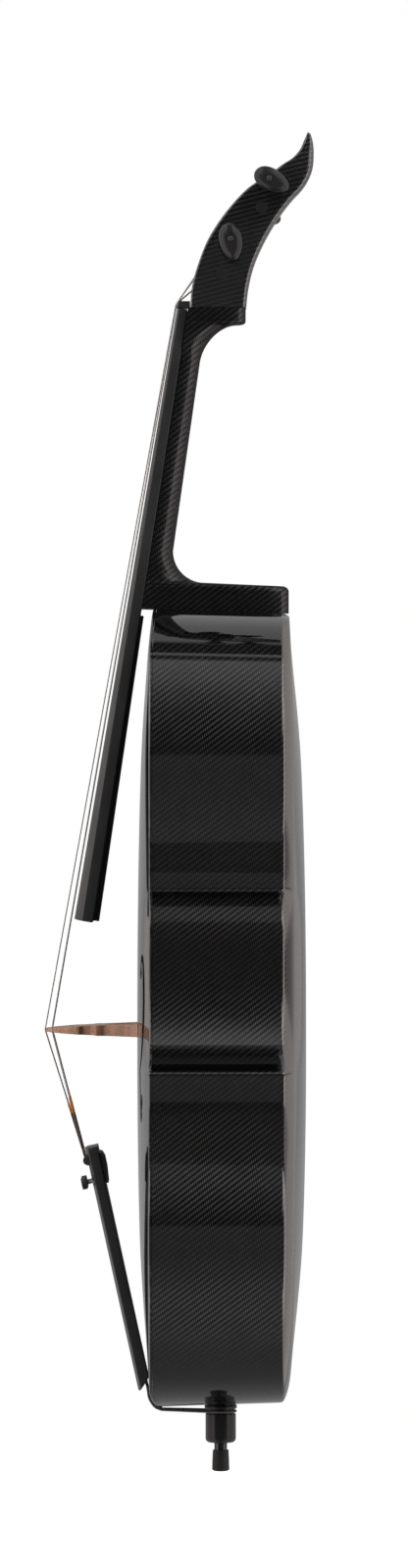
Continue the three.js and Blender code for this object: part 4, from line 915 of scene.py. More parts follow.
def neck_stations():
    """(height, back, width, fullness) from the seam under the head down to the heel's seat."""
    shoulder_z = NECK_TOP_Z - SHOULDER_HEIGHT
    shoulder_back = neck_front_y(NECK_TOP_Z) + SHOULDER_DEPTH
    curve_back = shoulder_back - SHOULDER_EASE_SHARE * SHOULDER_DEPTH
    curve_width = HEAD_WIDTH * SHOULDER_NARROW_SHARE
    grip_top = shoulder_z - SHOULDER_CURVE
    heel_top = BODY_TOP + HEEL_HEIGHT
    grip_bottom = heel_top + HEEL_FILLET
    lip = SHOULDER_HEIGHT * SHOULDER_LIP_SHARE

    def grip_back(z):
        t = (z - grip_top) / (grip_bottom - grip_top)
        return neck_front_y(z) + lerp(NECK_THICKNESS, HEEL_THICKNESS, t)

    stations = [(z, shoulder_back, HEAD_WIDTH, BLOCK_FULLNESS) for z in (NECK_TOP_Z, shoulder_z + lip * 2)]
    for sin, cos, t in quarter(LIP_STEPS):
        back = lerp(shoulder_back, curve_back, (1 - cos) ** 1.5)
        width = lerp(HEAD_WIDTH, curve_width, 1 - cos)
        fullness = lerp(BLOCK_FULLNESS, SHOULDER_FULLNESS, t)
        stations.append((shoulder_z + lip * (1 - sin), back, width, fullness))
    for sin, cos, t in quarter(NECK_STEPS):
        z = shoulder_z - SHOULDER_CURVE * (1 - cos) - GAP * t
        width = lerp(curve_width, NECK_WIDTH, (1 - cos) ** 2 * (1 + 2 * cos))
        fullness = lerp(SHOULDER_FULLNESS, NECK_FULLNESS, sin)
        stations.append((z, lerp(grip_back(z), curve_back, 1 - sin), width, fullness))
    for t in span(0, 1, NECK_STEPS)[1:]:
        z = lerp(grip_top, grip_bottom, t)
        stations.append((z, grip_back(z), lerp(NECK_WIDTH, HEEL_THROAT, t), NECK_FULLNESS))
    for sin, cos, t in quarter(NECK_STEPS, 1):
        back = grip_back(grip_bottom) + HEEL_FILLET * (1 - cos)
        width = lerp(HEEL_THROAT, HEEL_WIDTH, t)
        stations.append((grip_bottom - HEEL_FILLET * sin, back, width, lerp(NECK_FULLNESS, HEEL_FULLNESS, t)))
    ledge_back = HEEL_BACK_Y - HEEL_TOP_SLOPE * LEDGE_BACK_SHARE
    for t in span(0, 1, LEDGE_STEPS)[1:]:
        z = heel_top - HEEL_TOP_SLOPE * LEDGE_DROP_SHARE * t
        back = lerp(grip_back(grip_bottom) + HEEL_FILLET, ledge_back, t)
        stations.append((z, back, HEEL_WIDTH, lerp(HEEL_FULLNESS, LEDGE_FULLNESS, t)))
    for sin, cos, t in quarter(LEDGE_EDGE_STEPS, 1):
        z = heel_top - HEEL_TOP_SLOPE * lerp(LEDGE_EDGE_SHARE, LEDGE_DROP_SHARE, cos)
        back = lerp(ledge_back, HEEL_BACK_Y, sin)
        stations.append((z, back, HEEL_WIDTH + HEEL_FLARE / 2 * t, lerp(LEDGE_FULLNESS, BLOCK_FULLNESS, t)))
    for gaps in (5, 1):
        stations.append((BODY_TOP + gaps * GAP, HEEL_BACK_Y, HEEL_WIDTH + HEEL_FLARE, BLOCK_FULLNESS))
    return stations


def neck_ring(z, back, width, fullness, seated):
    front = neck_front_y(z)
    half = [(0, front, z)]
    for sin, cos, _ in quarter(NECK_SECTION_STEPS):
        half.append((width / 2 * max(cos, 0) ** (2 / fullness), lerp(front, back, sin ** (2 / fullness)), z))
    half[-1] = (0, back, z)
    if seated:
        half = [(x, y, z - (y - seam_y(BODY_TOP)) * SEAT_SHARE) for x, y, z in half]
    return mirrored(half)


def make_neck():
    *upper, second, last = neck_stations()
    rings = [neck_ring(*station, False) for station in upper]
    rings += [neck_ring(*station, True) for station in (second, last)]
    dress("neck_body", loft(rings), neck_carbon, ["neck"])


make_neck()


# Head

HEAD_ORIGIN_Y = neck_front_y(NECK_TOP_Z) + HEAD_SETBACK
FRONT_EDGE_SHARES = (
    (0, 0), (0.007, 0.104), (0.037, 0.224), (0.099, 0.383), (0.198, 0.536), (0.321, 0.672),
    (0.433, 0.745), (0.515, 0.807), (0.575, 0.847), (0.617, 0.894), (0.641, 0.945), (0.663, 0.998),
)
BACK_EDGE_SHARES = (
    (0.316, 0), (0.329, 0.116), (0.36, 0.242), (0.417, 0.374), (0.494, 0.506), (0.569, 0.606),
    (0.631, 0.673), (0.668, 0.73), (0.691, 0.79), (0.698, 0.864), (0.694, 0.936), (0.68, 0.989),
)
HEAD_WIDTH_SHARES = (1, 1, 0.98, 0.95, 0.9, 0.83, 0.74, 0.66, 0.57, 0.46, 0.35, 0.22)
HEAD_SECTIONS = 110
HEAD_CORNER = 2.2
HEAD_BACK_CORNER = 5.5
HEAD_CORNER_STEPS = 6
HEAD_BACK_STEPS = 10
PEGBOX_START_SHARE = 0.045
PEGBOX_END_SHARE = 0.6
PEGBOX_SECTIONS = 40
PEGS = {
    "a": {"place_shares": (0.2259, 0.3729), "side": 1, "turn": 10, "coil_share": 0.3},
    "d": {"place_shares": (0.4435, 0.7146), "side": 1, "turn": 63, "coil_share": 0.2},
    "g": {"place_shares": (0.4015, 0.5635), "side": -1, "turn": -68, "coil_share": -0.25},
    "c": {"place_shares": (0.1791, 0.1894), "side": -1, "turn": -15, "coil_share": -0.3},
}
PEG_TAPER = (PEG_RADIUS - PEG_END_RADIUS) / HEAD_WIDTH
PEG_STEPS = 64
CHEEK_SAMPLES = 120


def head_point(shares):
    return HEAD_ORIGIN_Y + shares[0] * HEAD_HEIGHT, SEAM_Z + shares[1] * HEAD_HEIGHT


def head_section(t):
    front, back = [Vector(head_point(spline(edge, t))) for edge in (FRONT_EDGE_SHARES, BACK_EDGE_SHARES)]
    return front, back, spline([(share,) for share in HEAD_WIDTH_SHARES], t)[0] * HEAD_WIDTH


def head_slice(t, section_at):
    """Ring at share t of the head, from its right half in (x, depth behind the front) pairs."""
    front, back, width = head_section(t)
    depth = (back - front).length
    into = (back - front).normalized()
    return mirrored([(x, *(front + into * deep)) for x, deep in section_at(width / 2, depth)])


def head_outline(half, depth):
    near = min(HEAD_CORNER, half * 0.8, depth * 0.3)
    far = min(HEAD_BACK_CORNER, half * 0.8, depth * 0.4)
    outline = [(0, 0)]
    outline += [(half - near + near * sin, near * (1 - cos)) for sin, cos, _ in quarter(HEAD_CORNER_STEPS)]
    outline += [(half, deep) for deep in span(near, depth - far, HEAD_CORNER_STEPS)[1:-1]]
    outline += [(half - far + far * cos, depth - far + far * sin) for sin, cos, _ in quarter(HEAD_BACK_STEPS)]
    return outline + [(0, depth)]


def pegbox_outline(half, depth):
    inner = half - CHEEK
    floor = depth - PEGBOX_BACK
    outline = [(0, -CUT_PAST), (inner, -CUT_PAST)]
    for sin, cos, _ in quarter(HEAD_CORNER_STEPS):
        outline.append((inner - CUT_PAST + CUT_PAST * cos, floor - CUT_PAST * (1 - sin)))
    return outline + [(0, floor)]


def cheek_half(place):
    centre = Vector(head_point(place))
    widest = 0
    for t in span(0, 1, CHEEK_SAMPLES):
        front, back, width = head_section(t)
        if (front.lerp(back, 0.5) - centre).length < PEG_COLLAR_RADIUS + PEG_RADIUS:
            widest = max(widest, width / 2)
    return widest


def peg_hole(peg):
    half = cheek_half(peg["place_shares"]) + CUT_PAST
    wide = PEG_RADIUS + GAP
    narrow = wide - PEG_TAPER * 2 * half
    low, high = (narrow, wide) if peg["side"] > 0 else (wide, narrow)
    profile = ((0, -half), (low, -half), (high, half), (0, half))
    return turned(profile, PEG_STEPS, "x", (0, *head_point(peg["place_shares"])))


def make_head():
    rings = [head_slice(t, head_outline) for t in span(0, 1, HEAD_SECTIONS)]
    shares = span(PEGBOX_START_SHARE, PEGBOX_END_SHARE, PEGBOX_SECTIONS)
    pegbox = loft([head_slice(t, pegbox_outline) for t in shares])
    mesh = cut_mesh(loft(rings), [pegbox, *[peg_hole(peg) for peg in PEGS.values()]])
    dress("head_and_pegbox", mesh, head_carbon, ["pegbox"])


make_head()


# Pegs: tapered shaft, collar, egg-shaped head with a waist behind it, and an inlaid pip

PEG_HEAD_OFFSET_SHARE = 0.145
PEG_HEAD_NARROW_SHARE = 0.16
PEG_HEAD_SHARES = (
    (0, 0.29, 0.42), (0.06, 0.28, 0.38), (0.14, 0.34, 0.42), (0.24, 0.5, 0.53), (0.36, 0.74, 0.68),
    (0.5, 0.92, 0.86), (0.64, 1, 0.98), (0.76, 1, 1), (0.86, 0.92, 0.93), (0.94, 0.74, 0.74),
    (0.985, 0.52, 0.52), (1, 0.34, 0.34),
)
PEG_HEAD_RINGS = 60
COLLAR_BEAD_SHARE = 0.22
COLLAR_BEAD_STEPS = 10
# Where the peg narrows behind its collar: shares of the neck's radius and of the collar's length.
PEG_THROAT_SHARES = (1.1, 0.55)
PIP_STEPS = 32
PIP_DOME_STEPS = 10
PIP_DOME = PIP_RADIUS * 0.9


def arc(centre, radius, start, end, steps):
    """(radius, height) pairs round a rounded edge, angles in degrees."""
    angles = [math.radians(angle) for angle in span(start, end, steps)]
    return [(centre[0] + radius * math.cos(angle), centre[1] + radius * math.sin(angle)) for angle in angles]


def peg_piece(title, name, solid, look, replaced=()):
    """One of a peg's pieces, turned and moved from the peg's own axis along x to its place."""
    peg = PEGS[name]
    turn = Matrix.Rotation(math.radians(peg["turn"]), 3, "X")
    if peg["side"] < 0:
        turn = Matrix.Rotation(math.pi, 3, "Z") @ turn
    centre = Vector((0, *head_point(peg["place_shares"])))
    points = [tuple(turn @ Vector(p) + centre) for p in solid[0]]
    dress(f"{title}_{name}", (points, solid[1]), look, replaced, f"peg_{name}")


def make_peg(name):
    half = cheek_half(PEGS[name]["place_shares"])
    tip = PEG_RADIUS - PEG_TAPER * 2 * half
    collar = half + GAP
    head = collar + PEG_COLLAR_LENGTH
    bead = PEG_COLLAR_LENGTH * COLLAR_BEAD_SHARE
    profile = [(0, -half), (tip - GAP, -half), (tip, GAP - half), (PEG_RADIUS, collar)]
    profile += [(PEG_COLLAR_RADIUS - bead, collar)]
    profile += arc((PEG_COLLAR_RADIUS - bead, collar + bead), bead, -90, 90, COLLAR_BEAD_STEPS)
    throat, place = PEG_THROAT_SHARES
    profile += [(PEG_NECK_RADIUS * throat, collar + PEG_COLLAR_LENGTH * place)]
    profile += [(PEG_NECK_RADIUS, head + GAP), (0, head + GAP)]
    peg_piece("peg_shaft", name, turned(profile, PEG_STEPS, "x"), peg_black, [f"peg_{name}"])
    rings = []
    for t in span(0, 1, PEG_HEAD_RINGS):
        along, long, short = spline(PEG_HEAD_SHARES, t)
        ring = []
        for step in range(PEG_STEPS):
            angle = 2 * math.pi * step / PEG_STEPS
            narrow = 1 - PEG_HEAD_NARROW_SHARE * long * math.cos(angle)
            y = math.sin(angle) * short * narrow * PEG_HEAD_SHORT / 2
            z = (-math.cos(angle) - PEG_HEAD_OFFSET_SHARE) * long * PEG_HEAD_LONG / 2
            ring.append((head + along * PEG_HEAD_LENGTH, y, z))
        rings.append(ring)
    peg_piece("peg_head", name, loft(rings, ladder=False), peg_black)
    base = head + PEG_HEAD_LENGTH
    profile = [(0, base - GAP * 2), (PIP_RADIUS, base - GAP * 2)]
    profile += [(PIP_RADIUS * cos, base + PIP_DOME * sin) for sin, cos, t in quarter(PIP_DOME_STEPS) if t < 1]
    profile += [(0, base + PIP_DOME)]
    peg_piece("peg_dot", name, turned(profile, PIP_STEPS, "x"), satin_black, [f"peg_pip_{name}"])


for peg_name in PEGS:
    make_peg(peg_name)


# Nut and bridge

NUT_STATIONS = 40
NUT_EDGE_STEPS = 8
BRIDGE_SIDE_SHARES = (
    (0.43, 0), (1, 0), (1, 0.05), (0.8, 0.1), (0.68, 0.28), (0.66, 0.4), (0.78, 0.47), (0.79, 0.505),
    (0.6, 0.515), (0.52, 0.56), (0.57, 0.63), (0.72, 0.66), (0.74, 0.7), (0.69, 0.8), (0.66, 0.87),
)
BRIDGE_ARCH_SHARES = ((0, 0.42), (0.16, 0.4), (0.34, 0.3), (0.45, 0.18), (0.46, 0.08), (0.43, 0.04))
HEART_SHARES = ((0, 0.6), (0.1, 0.66), (0.16, 0.72), (0.11, 0.76), (0.03, 0.745), (0, 0.71))
BRIDGE_MIDDLE_SHARE = 0.45
BRIDGE_SINK = 8
BRIDGE_BEVEL = 0.5
BRIDGE_CROWN_STEPS = 20
BRIDGE_FALL = OUTER_STRING_DROP / ((STRING_SPREAD_BRIDGE / 2) ** 2 - (STRING_SPREAD_BRIDGE / 6) ** 2)


def make_nut():
    back = HEAD_ORIGIN_Y - GAP
    top = SEAM_Z + NUT_HEIGHT - GAP
    low = SEAM_Z + GAP
    rings = []
    for x in span(-BOARD_WIDTH_NUT / 2, BOARD_WIDTH_NUT / 2, NUT_STATIONS):
        front = -NUT_REACH - NUT_RISE + sagitta(x)
        edge = [
            (front + 2 * NUT_ROUND * (1 - cos), top - 2 * NUT_ROUND * (1 - sin))
            for sin, cos, _ in quarter(NUT_EDGE_STEPS)]
        rings.append([(x, y, z) for y, z in [(front, low), *edge, (back, top), (back, low)]])
    dress("nut_block", loft(rings, ladder=False), board_black, ["nut"])


def bridge_crown(x):
    return BRIDGE_TOP_Y + BRIDGE_FALL * (x * x - (STRING_SPREAD_BRIDGE / 6) ** 2)


def smooth_run(shares, steps=4):
    """The line through the points, rounded between them."""
    return [spline(shares, t) for t in span(0, 1, (len(shares) - 1) * steps)]


def mesh_points(mesh):
    return [tuple(v.co / METRES) for v in mesh.vertices]


def make_bridge():
    foot = front_y(BRIDGE_Z, 1) + BRIDGE_SINK
    full = foot - BRIDGE_TOP_Y
    half = BRIDGE_FOOT_SPREAD / 2
    thick = BRIDGE_THICK_FOOT / 2
    at = lambda shares: [(across * half, foot - up * full) for across, up in shares]
    slab = lambda line, reach: loft([[(x, y, BRIDGE_Z + z) for x, y in line] for z in (-reach, reach)], False)
    right = at(smooth_run(BRIDGE_ARCH_SHARES)) + at(BRIDGE_SIDE_SHARES[:3])
    right += at(smooth_run(BRIDGE_SIDE_SHARES[2:]))[1:]
    end = BRIDGE_SIDE_SHARES[-1][0] * half
    outline = mirrored(right + [(x, bridge_crown(x)) for x in span(end, 0, BRIDGE_CROWN_STEPS)])
    heart = mirrored(at(smooth_run(HEART_SHARES)))
    sides = (
        (BRIDGE_TOP_Y - CUT_PAST, BRIDGE_THICK_TOP / 2),
        (BRIDGE_TOP_Y + BRIDGE_MIDDLE_SHARE * full, BRIDGE_THICK_MIDDLE / 2),
        (foot + CUT_PAST, thick))
    section = [*sides, *[(y, -z) for y, z in sides[::-1]]]
    wedge = [[(x, y, BRIDGE_Z + z) for y, z in section] for x in (-half - CUT_PAST, half + CUT_PAST)]
    blank = cut_mesh(slab(outline, thick), [loft(wedge, ladder=False)], "INTERSECT")
    solid = mesh_points(blank), [tuple(face.vertices) for face in blank.polygons]
    body = front_rings(0, -GAP) + [ring_at(0, 0, lambda z, s: 0)]
    mesh = cut_mesh(solid, [slab(heart, thick + CUT_PAST), loft(body)])
    bevel_mesh(mesh, BRIDGE_BEVEL)
    dress("bridge_blank", mesh, maple, ["bridge"])


make_nut()
make_bridge()


# Tailpiece and its fine tuners, drawn in a frame that leans with the tailpiece

LEAN = math.radians(TAIL_LEAN)
TUNER_Z = TAIL_LENGTH - TUNER_PLACE
AXLE_Z = TAIL_LENGTH - AXLE_PLACE
STRING_NAMES = ("a", "d", "g", "c")
TAIL_PLACE_SHARES = (0, 0.02, 0.035, 0.3, 0.7, 0.93, 0.985, 1)
TAIL_WIDTH_SHARES = (0.86, 0.95, 1, 1.16, 1.62, 1.98, TAIL_WIDTH_TOP / TAIL_WIDTH_BOTTOM, 1.96)
TAIL_RINGS = 90
TAIL_CROWN_STEPS = 14
TAIL_EDGE_STEPS = 5
TAIL_CROWN_SHARE = 0.9
TAIL_RIM_SHARES = (0.93, 1)
TAIL_BEHIND_SHARES = (0.95, 1)
TAIL_ROUND = 1.4
TAIL_BEVEL = 0.35
TAIL_BEVEL_ANGLE = 50
SLOT_HALF = LEVER_WIDTH / 2 + SLOT_CLEARANCE
SLOT_LOW = TUNER_Z + STEM_RADIUS * 3.6
SLOT_HIGH = AXLE_Z + LEVER_NOSE + GAP * 4
CORD_HOLE_Z = TAIL_END_BEVEL * 2.4
CORD_HOLE_Y = TAIL_THICKNESS - CORD_RADIUS * 2.6
HOLE_STEPS = 24


def string_x(spread, order):
    return spread / 2 * (1, 1 / 3, -1 / 3, -1)[order]


def lean(points):
    cos, sin = math.cos(LEAN), math.sin(LEAN)
    return [(x, TAIL_TIP_Y + y * cos - z * sin, TAIL_TIP_Z + y * sin + z * cos) for x, y, z in points]


def lean_mesh(mesh):
    for vertex, point in zip(mesh.vertices, lean(mesh_points(mesh))):
        vertex.co = Vector(point) * METRES


def tail_half(share):
    i = max(k for k, place in enumerate(TAIL_PLACE_SHARES[:-1]) if place <= share)
    low, high = TAIL_PLACE_SHARES[i:i + 2]
    return lerp(*TAIL_WIDTH_SHARES[i:i + 2], (share - low) / (high - low)) * TAIL_WIDTH_BOTTOM / 2


def tail_ring(share):
    z = share * TAIL_LENGTH
    half = tail_half(share)
    back = lerp(TAIL_CROWN, TAIL_THICKNESS, min(z / TAIL_END_BEVEL, 1))
    front = min(TAIL_CROWN, back * 0.5)
    edge = min(TAIL_ROUND, (back - front) * 0.4)
    rim, behind = [[half * part for part in parts] for parts in (TAIL_RIM_SHARES, TAIL_BEHIND_SHARES)]
    crown = front * TAIL_CROWN_SHARE
    ring = [(rim[0] * t, crown * t ** 2, z) for t in span(0, 1, TAIL_CROWN_STEPS)]
    ring += [(lerp(*rim, sin), crown + edge * (1 - cos), z) for sin, cos, _ in quarter(TAIL_EDGE_STEPS, 1)]
    ring += [(lerp(*behind, cos), back - edge * (1 - sin), z) for sin, cos, _ in quarter(TAIL_EDGE_STEPS)]
    return mirrored(ring + [(0, back, z)])


def make_tailpiece():
    through = TAIL_THICKNESS + CUT_PAST
    cutters = []
    for order in range(4):
        x = string_x(STRING_SPREAD_TAIL, order)
        cutters.append(box_solid((x - SLOT_HALF, -CUT_PAST, SLOT_LOW), (x + SLOT_HALF, through, SLOT_HIGH)))
        cutters.append(cylinder(STEM_RADIUS + GAP, -CUT_PAST, through, HOLE_STEPS, "y", (x, 0, TUNER_Z)))
    for x in (-CORD_SPREAD / 2, CORD_SPREAD / 2):
        centre = (x, CORD_HOLE_Y, 0)
        cutters.append(cylinder(CORD_RADIUS + GAP, -CUT_PAST, CORD_HOLE_Z, HOLE_STEPS, "z", centre))
    mesh = cut_mesh(loft([tail_ring(share) for share in span(0, 1, TAIL_RINGS)]), cutters)
    bevel_mesh(mesh, TAIL_BEVEL, angle=TAIL_BEVEL_ANGLE)
    lean_mesh(mesh)
    dress("tailpiece_body", mesh, satin_black, ["tailpiece"])


make_tailpiece()

NOSE_FRONT = -LEVER_NOSE * 0.75
NOSE_TOP_Z = AXLE_Z + LEVER_NOSE * 0.62
BALL_Y = NOSE_FRONT + BALL_RADIUS * 0.9
BALL_Z = AXLE_Z - LEVER_NOSE * 0.25
ARM_FRONT = TAIL_THICKNESS + LEVER_CLEARANCE
SLOT_BEHIND = 1.2
POCKET_SHARE = 0.8
POCKET_TOP_SHARE = 0.5
THREAD_PITCH = 0.5
THREAD_ROOT_SHARE = 0.86
THREAD_END_SHARE = 0.8
THREAD_STEPS = 20
KNOB_STEPS = 72
KNOB_EDGE_SHARE = 0.16
KNOB_EDGE_STEPS = 5
KNURL_START_SHARE = 0.97
KNURL_COUNT = 24
KNURL_DEPTH = 0.22
BALL_RINGS = 16
BALL_STEPS = 28
SMALL_BEVEL = 0.4
AXLE_HALF_SHARE = 0.47


def lever_outline():
    nose = LEVER_NOSE
    arm_back = ARM_FRONT + LEVER_ARM_THICKNESS
    arm_middle = ARM_FRONT + LEVER_ARM_THICKNESS * 0.6
    return [
        (NOSE_FRONT + nose * 0.3, NOSE_TOP_Z), (NOSE_FRONT, AXLE_Z + nose * 0.1),
        (NOSE_FRONT + nose * 0.1, AXLE_Z - nose * 0.6), (NOSE_FRONT + nose * 0.6, AXLE_Z - nose),
        (AXLE_DEPTH, AXLE_Z - nose), (TAIL_THICKNESS, AXLE_Z - nose * 2),
        (ARM_FRONT, AXLE_Z - nose * 2.6), (ARM_FRONT, TUNER_Z - STEM_RADIUS * 2.4),
        (arm_middle, TUNER_Z - STEM_RADIUS * 3), (arm_back, AXLE_Z - nose * 2.1),
        (arm_back, AXLE_Z - nose * 0.2), (arm_middle, AXLE_Z + nose * 0.7),
        (TAIL_THICKNESS, AXLE_Z + nose * 0.95), (AXLE_DEPTH, AXLE_Z + nose)]


def knurl(points, centre, low, high):
    """Fine grooves round a knob's rim."""
    result = []
    for x, y, z in points:
        across, up = x - centre[0], z - centre[1]
        if math.hypot(across, up) > KNOB_RADIUS * KNURL_START_SHARE and low - GAP < y < high + GAP:
            angle = math.atan2(up, across)
            shrink = 1 - KNURL_DEPTH / KNOB_RADIUS * (0.5 + 0.5 * math.cos(KNURL_COUNT * angle))
            x, z = centre[0] + across * shrink, centre[1] + up * shrink
        result.append((x, y, z))
    return result


def make_lever(name, x):
    wire = STRING_DIAMETERS[name] / 2
    half = LEVER_WIDTH / 2
    rings = [[(side, y, z) for y, z in lever_outline()] for side in (x - half, x + half)]
    pocket = BALL_RADIUS + GAP
    reach = pocket * POCKET_SHARE
    before = -3 * CUT_PAST
    cutters = [
        box_solid((x - reach, before, BALL_Z - reach),
                  (x + reach, BALL_Y + reach, BALL_Z + pocket * POCKET_TOP_SHARE)),
        box_solid((x - wire - GAP, before, BALL_Z),
                  (x + wire + GAP, BALL_Y + wire + SLOT_BEHIND, AXLE_Z + LEVER_NOSE + CUT_PAST))]
    mesh = cut_mesh(loft(rings, ladder=False), cutters)
    bevel_mesh(mesh, SMALL_BEVEL)
    lean_mesh(mesh)
    body = f"tuner_lever_{name}"
    dress(f"lever_{name}", mesh, satin_black, [body], body)


def make_tuner(order):
    name = STRING_NAMES[order]
    x = string_x(STRING_SPREAD_TAIL, order)
    make_lever(name, x)

    base = -STEM_SHOWN - GAP - KNOB_LENGTH
    top = base + KNOB_LENGTH
    edge = KNOB_LENGTH * KNOB_EDGE_SHARE
    profile = [(0, base), (KNOB_RADIUS - edge, base)]
    profile += arc((KNOB_RADIUS - edge, base + edge), edge, -90, 0, KNOB_EDGE_STEPS)
    profile += arc((KNOB_RADIUS - edge, top - edge), edge, 0, 90, KNOB_EDGE_STEPS)
    points, faces = turned([*profile, (0, top)], KNOB_STEPS, "y", (x, 0, TUNER_Z))
    points = knurl(points, (x, TUNER_Z), base + edge, top - edge)
    body = f"tuner_knob_{name}"
    dress(f"knob_{name}", (lean(points), faces), satin_black, [body], body)

    thread = [(0, -STEM_SHOWN)]
    turns = int((STEM_SHOWN + TAIL_THICKNESS) / THREAD_PITCH)
    for k in range(turns):
        y = -STEM_SHOWN + k * THREAD_PITCH
        thread += [(STEM_RADIUS * THREAD_ROOT_SHARE, y), (STEM_RADIUS, y + THREAD_PITCH / 2)]
    end = -STEM_SHOWN + turns * THREAD_PITCH
    thread += [(STEM_RADIUS * THREAD_END_SHARE, end), (0, end)]
    ball = [(0, -BALL_RADIUS)]
    ball += arc((0, 0), BALL_RADIUS, -90, 90, BALL_RINGS)[1:-1] + [(0, BALL_RADIUS)]
    screw = turned(thread, THREAD_STEPS, "y", (x, 0, TUNER_Z))
    ball = turned(ball, BALL_STEPS, "x", (x, BALL_Y, BALL_Z))
    for title, (points, faces), node, body in (
            ("screw", screw, f"tuner_stem_{name}", f"tuner_screw_{name}"),
            ("ball", ball, f"string_ball_{name}", f"tuner_lever_{name}")):
        dress(f"{title}_{name}", (lean(points), faces), pin_steel, [node], body)


for tuner_order in range(4):
    make_tuner(tuner_order)


def make_axle():
    half = TAIL_WIDTH_TOP * AXLE_HALF_SHARE
    points, faces = cylinder(AXLE_RADIUS, -half, half, HOLE_STEPS, "x", (0, AXLE_DEPTH, AXLE_Z))
    dress("lever_axle", (lean(points), faces), pin_steel, ["tuner_axle"])


make_axle()


# Strings, each one wire from its turns on the peg to its ball, with silk wound over its lower end

COIL_STEPS = 44
WIRE_SIDES = 12
WIRE_BEND = 1.2
# A string's bends over the nut: (behind its front, below its top), in shares of the nut's rounding.
NUT_BEND_SHARES = ((1.4, 0.3), (0, 2.6))
SILK_THICKNESS = 0.3
SILK_BAND_LOW = 339
SILK_END_TOP = 305
# Heights where the orange silk begins, and whether yellow silk ends the winding above the lever.
SILKS = {"a": (354, False), "d": (348, True), "g": (348, True), "c": (354, False)}


def round_bends(path, reach, steps=6):
    """The same line with its corners rounded, from this far before each to this far after."""
    result = [Vector(path[0])]
    for before, corner, after in zip(path, path[1:], path[2:]):
        corner = Vector(corner)
        into = Vector(before) - corner
        out = Vector(after) - corner
        start = corner + into.normalized() * min(reach, into.length / 3)
        end = corner + out.normalized() * min(reach, out.length / 3)
        result += [start.lerp(corner, t).lerp(corner.lerp(end, t), t) for t in span(0, 1, steps)]
    return result + [Vector(path[-1])]


def peg_coil(peg, radius, arriving, coil_x, wire):
    """Turns round a peg, from the point where the string arrives at the front of the shaft."""
    centre = Vector(head_point(peg["place_shares"]))
    away = Vector(arriving[1:]) - centre
    start = math.atan2(away.y, away.x) - math.acos(radius / away.length)
    pitch = (wire * 2 + TURN_GAP) * peg["side"]
    points = []
    for turns in span(0, PEG_TURNS, PEG_TURNS * COIL_STEPS):
        angle = start - turns * 2 * math.pi
        y, z = centre.x + radius * math.cos(angle), centre.y + radius * math.sin(angle)
        points.append((coil_x + turns * pitch, y, z))
    return points


def string_run(name, order):
    """Points from the free end on the peg to the ball, and the part of them below the bridge."""
    wire = STRING_DIAMETERS[name] / 2
    nut_x, bridge_x, tail_x = [
        string_x(spread, order) for spread in (STRING_SPREAD_NUT, STRING_SPREAD_BRIDGE, STRING_SPREAD_TAIL)]
    nut_front = -NUT_REACH - NUT_RISE + sagitta(nut_x) - GAP - wire
    nut_top = SEAM_Z + NUT_HEIGHT + wire
    leave, touch = [
        (nut_x, nut_front + NUT_ROUND * behind, nut_top - NUT_ROUND * below)
        for behind, below in NUT_BEND_SHARES]
    coil_x = PEGS[name]["coil_share"] * HEAD_WIDTH / 2
    coil = peg_coil(PEGS[name], PEG_RADIUS + GAP * 2 + wire, leave, coil_x, wire)
    path = [coil[0]]
    if name == "g":
        # This string passes in front of the A string's peg.
        run = Vector((coil[0][1] - leave[1], coil[0][2] - leave[2])).normalized()
        out = Vector((-run.y, run.x)) * (PEG_RADIUS + GAP + wire)
        path.append(((coil_x + nut_x) / 2, *(Vector(head_point(PEGS["a"]["place_shares"])) + out)))
    over_bridge = (bridge_x, bridge_crown(bridge_x) - 2 * GAP - wire, BRIDGE_Z)
    end = lean([(tail_x, BALL_Y, BALL_Z + BALL_RADIUS + GAP)])[0]
    path += [leave, touch, over_bridge, end]
    return coil[:0:-1] + round_bends(path, WIRE_BEND), (over_bridge, end)


def sleeve(ends, inner, outer):
    """Straight sleeve with tapered ends over a wire."""
    start, finish = ends
    run = finish - start
    taper = (outer - inner) / run.length * 2
    rings = []
    for t, radius in ((0, inner), (taper, outer), (1 - taper, outer), (1, inner)):
        centre = start.lerp(finish, t)
        rings.append(tube([centre, centre + run], radius, WIRE_SIDES)[0][:WIRE_SIDES])
    return loft(rings, ladder=False)


def make_string(name, order):
    wire = STRING_DIAMETERS[name] / 2
    path, (top, end) = string_run(name, order)
    metal = string_wound if name in "gc" else string_plain
    dress(f"wire_{name}", tube(path, wire, WIRE_SIDES), metal, [f"string_{name}"])
    nose_top = lean([(0, BALL_Y, NOSE_TOP_Z)])[0][2] + GAP * 2
    band_top, ends_yellow = SILKS[name]
    wrap_low = SILK_END_TOP if ends_yellow else nose_top
    sleeves = [
        ("silk_band", silk_orange, band_top, SILK_BAND_LOW),
        ("silk_wrap", silk_dark, SILK_BAND_LOW, wrap_low)]
    if ends_yellow:
        sleeves.append(("silk_end", silk_yellow, SILK_END_TOP, nose_top))
    for title, silk, high, low in sleeves:
        points = [Vector(top).lerp(Vector(end), (top[2] - z) / (top[2] - end[2])) for z in (high, low)]
        dress(f"{title}_{name}", sleeve(points, wire, wire + SILK_THICKNESS), silk)


for string_order, string_name in enumerate(STRING_NAMES):
    make_string(string_name, string_order)


# Saddle and tail cord: both follow the front edge's bend at the bottom of the body

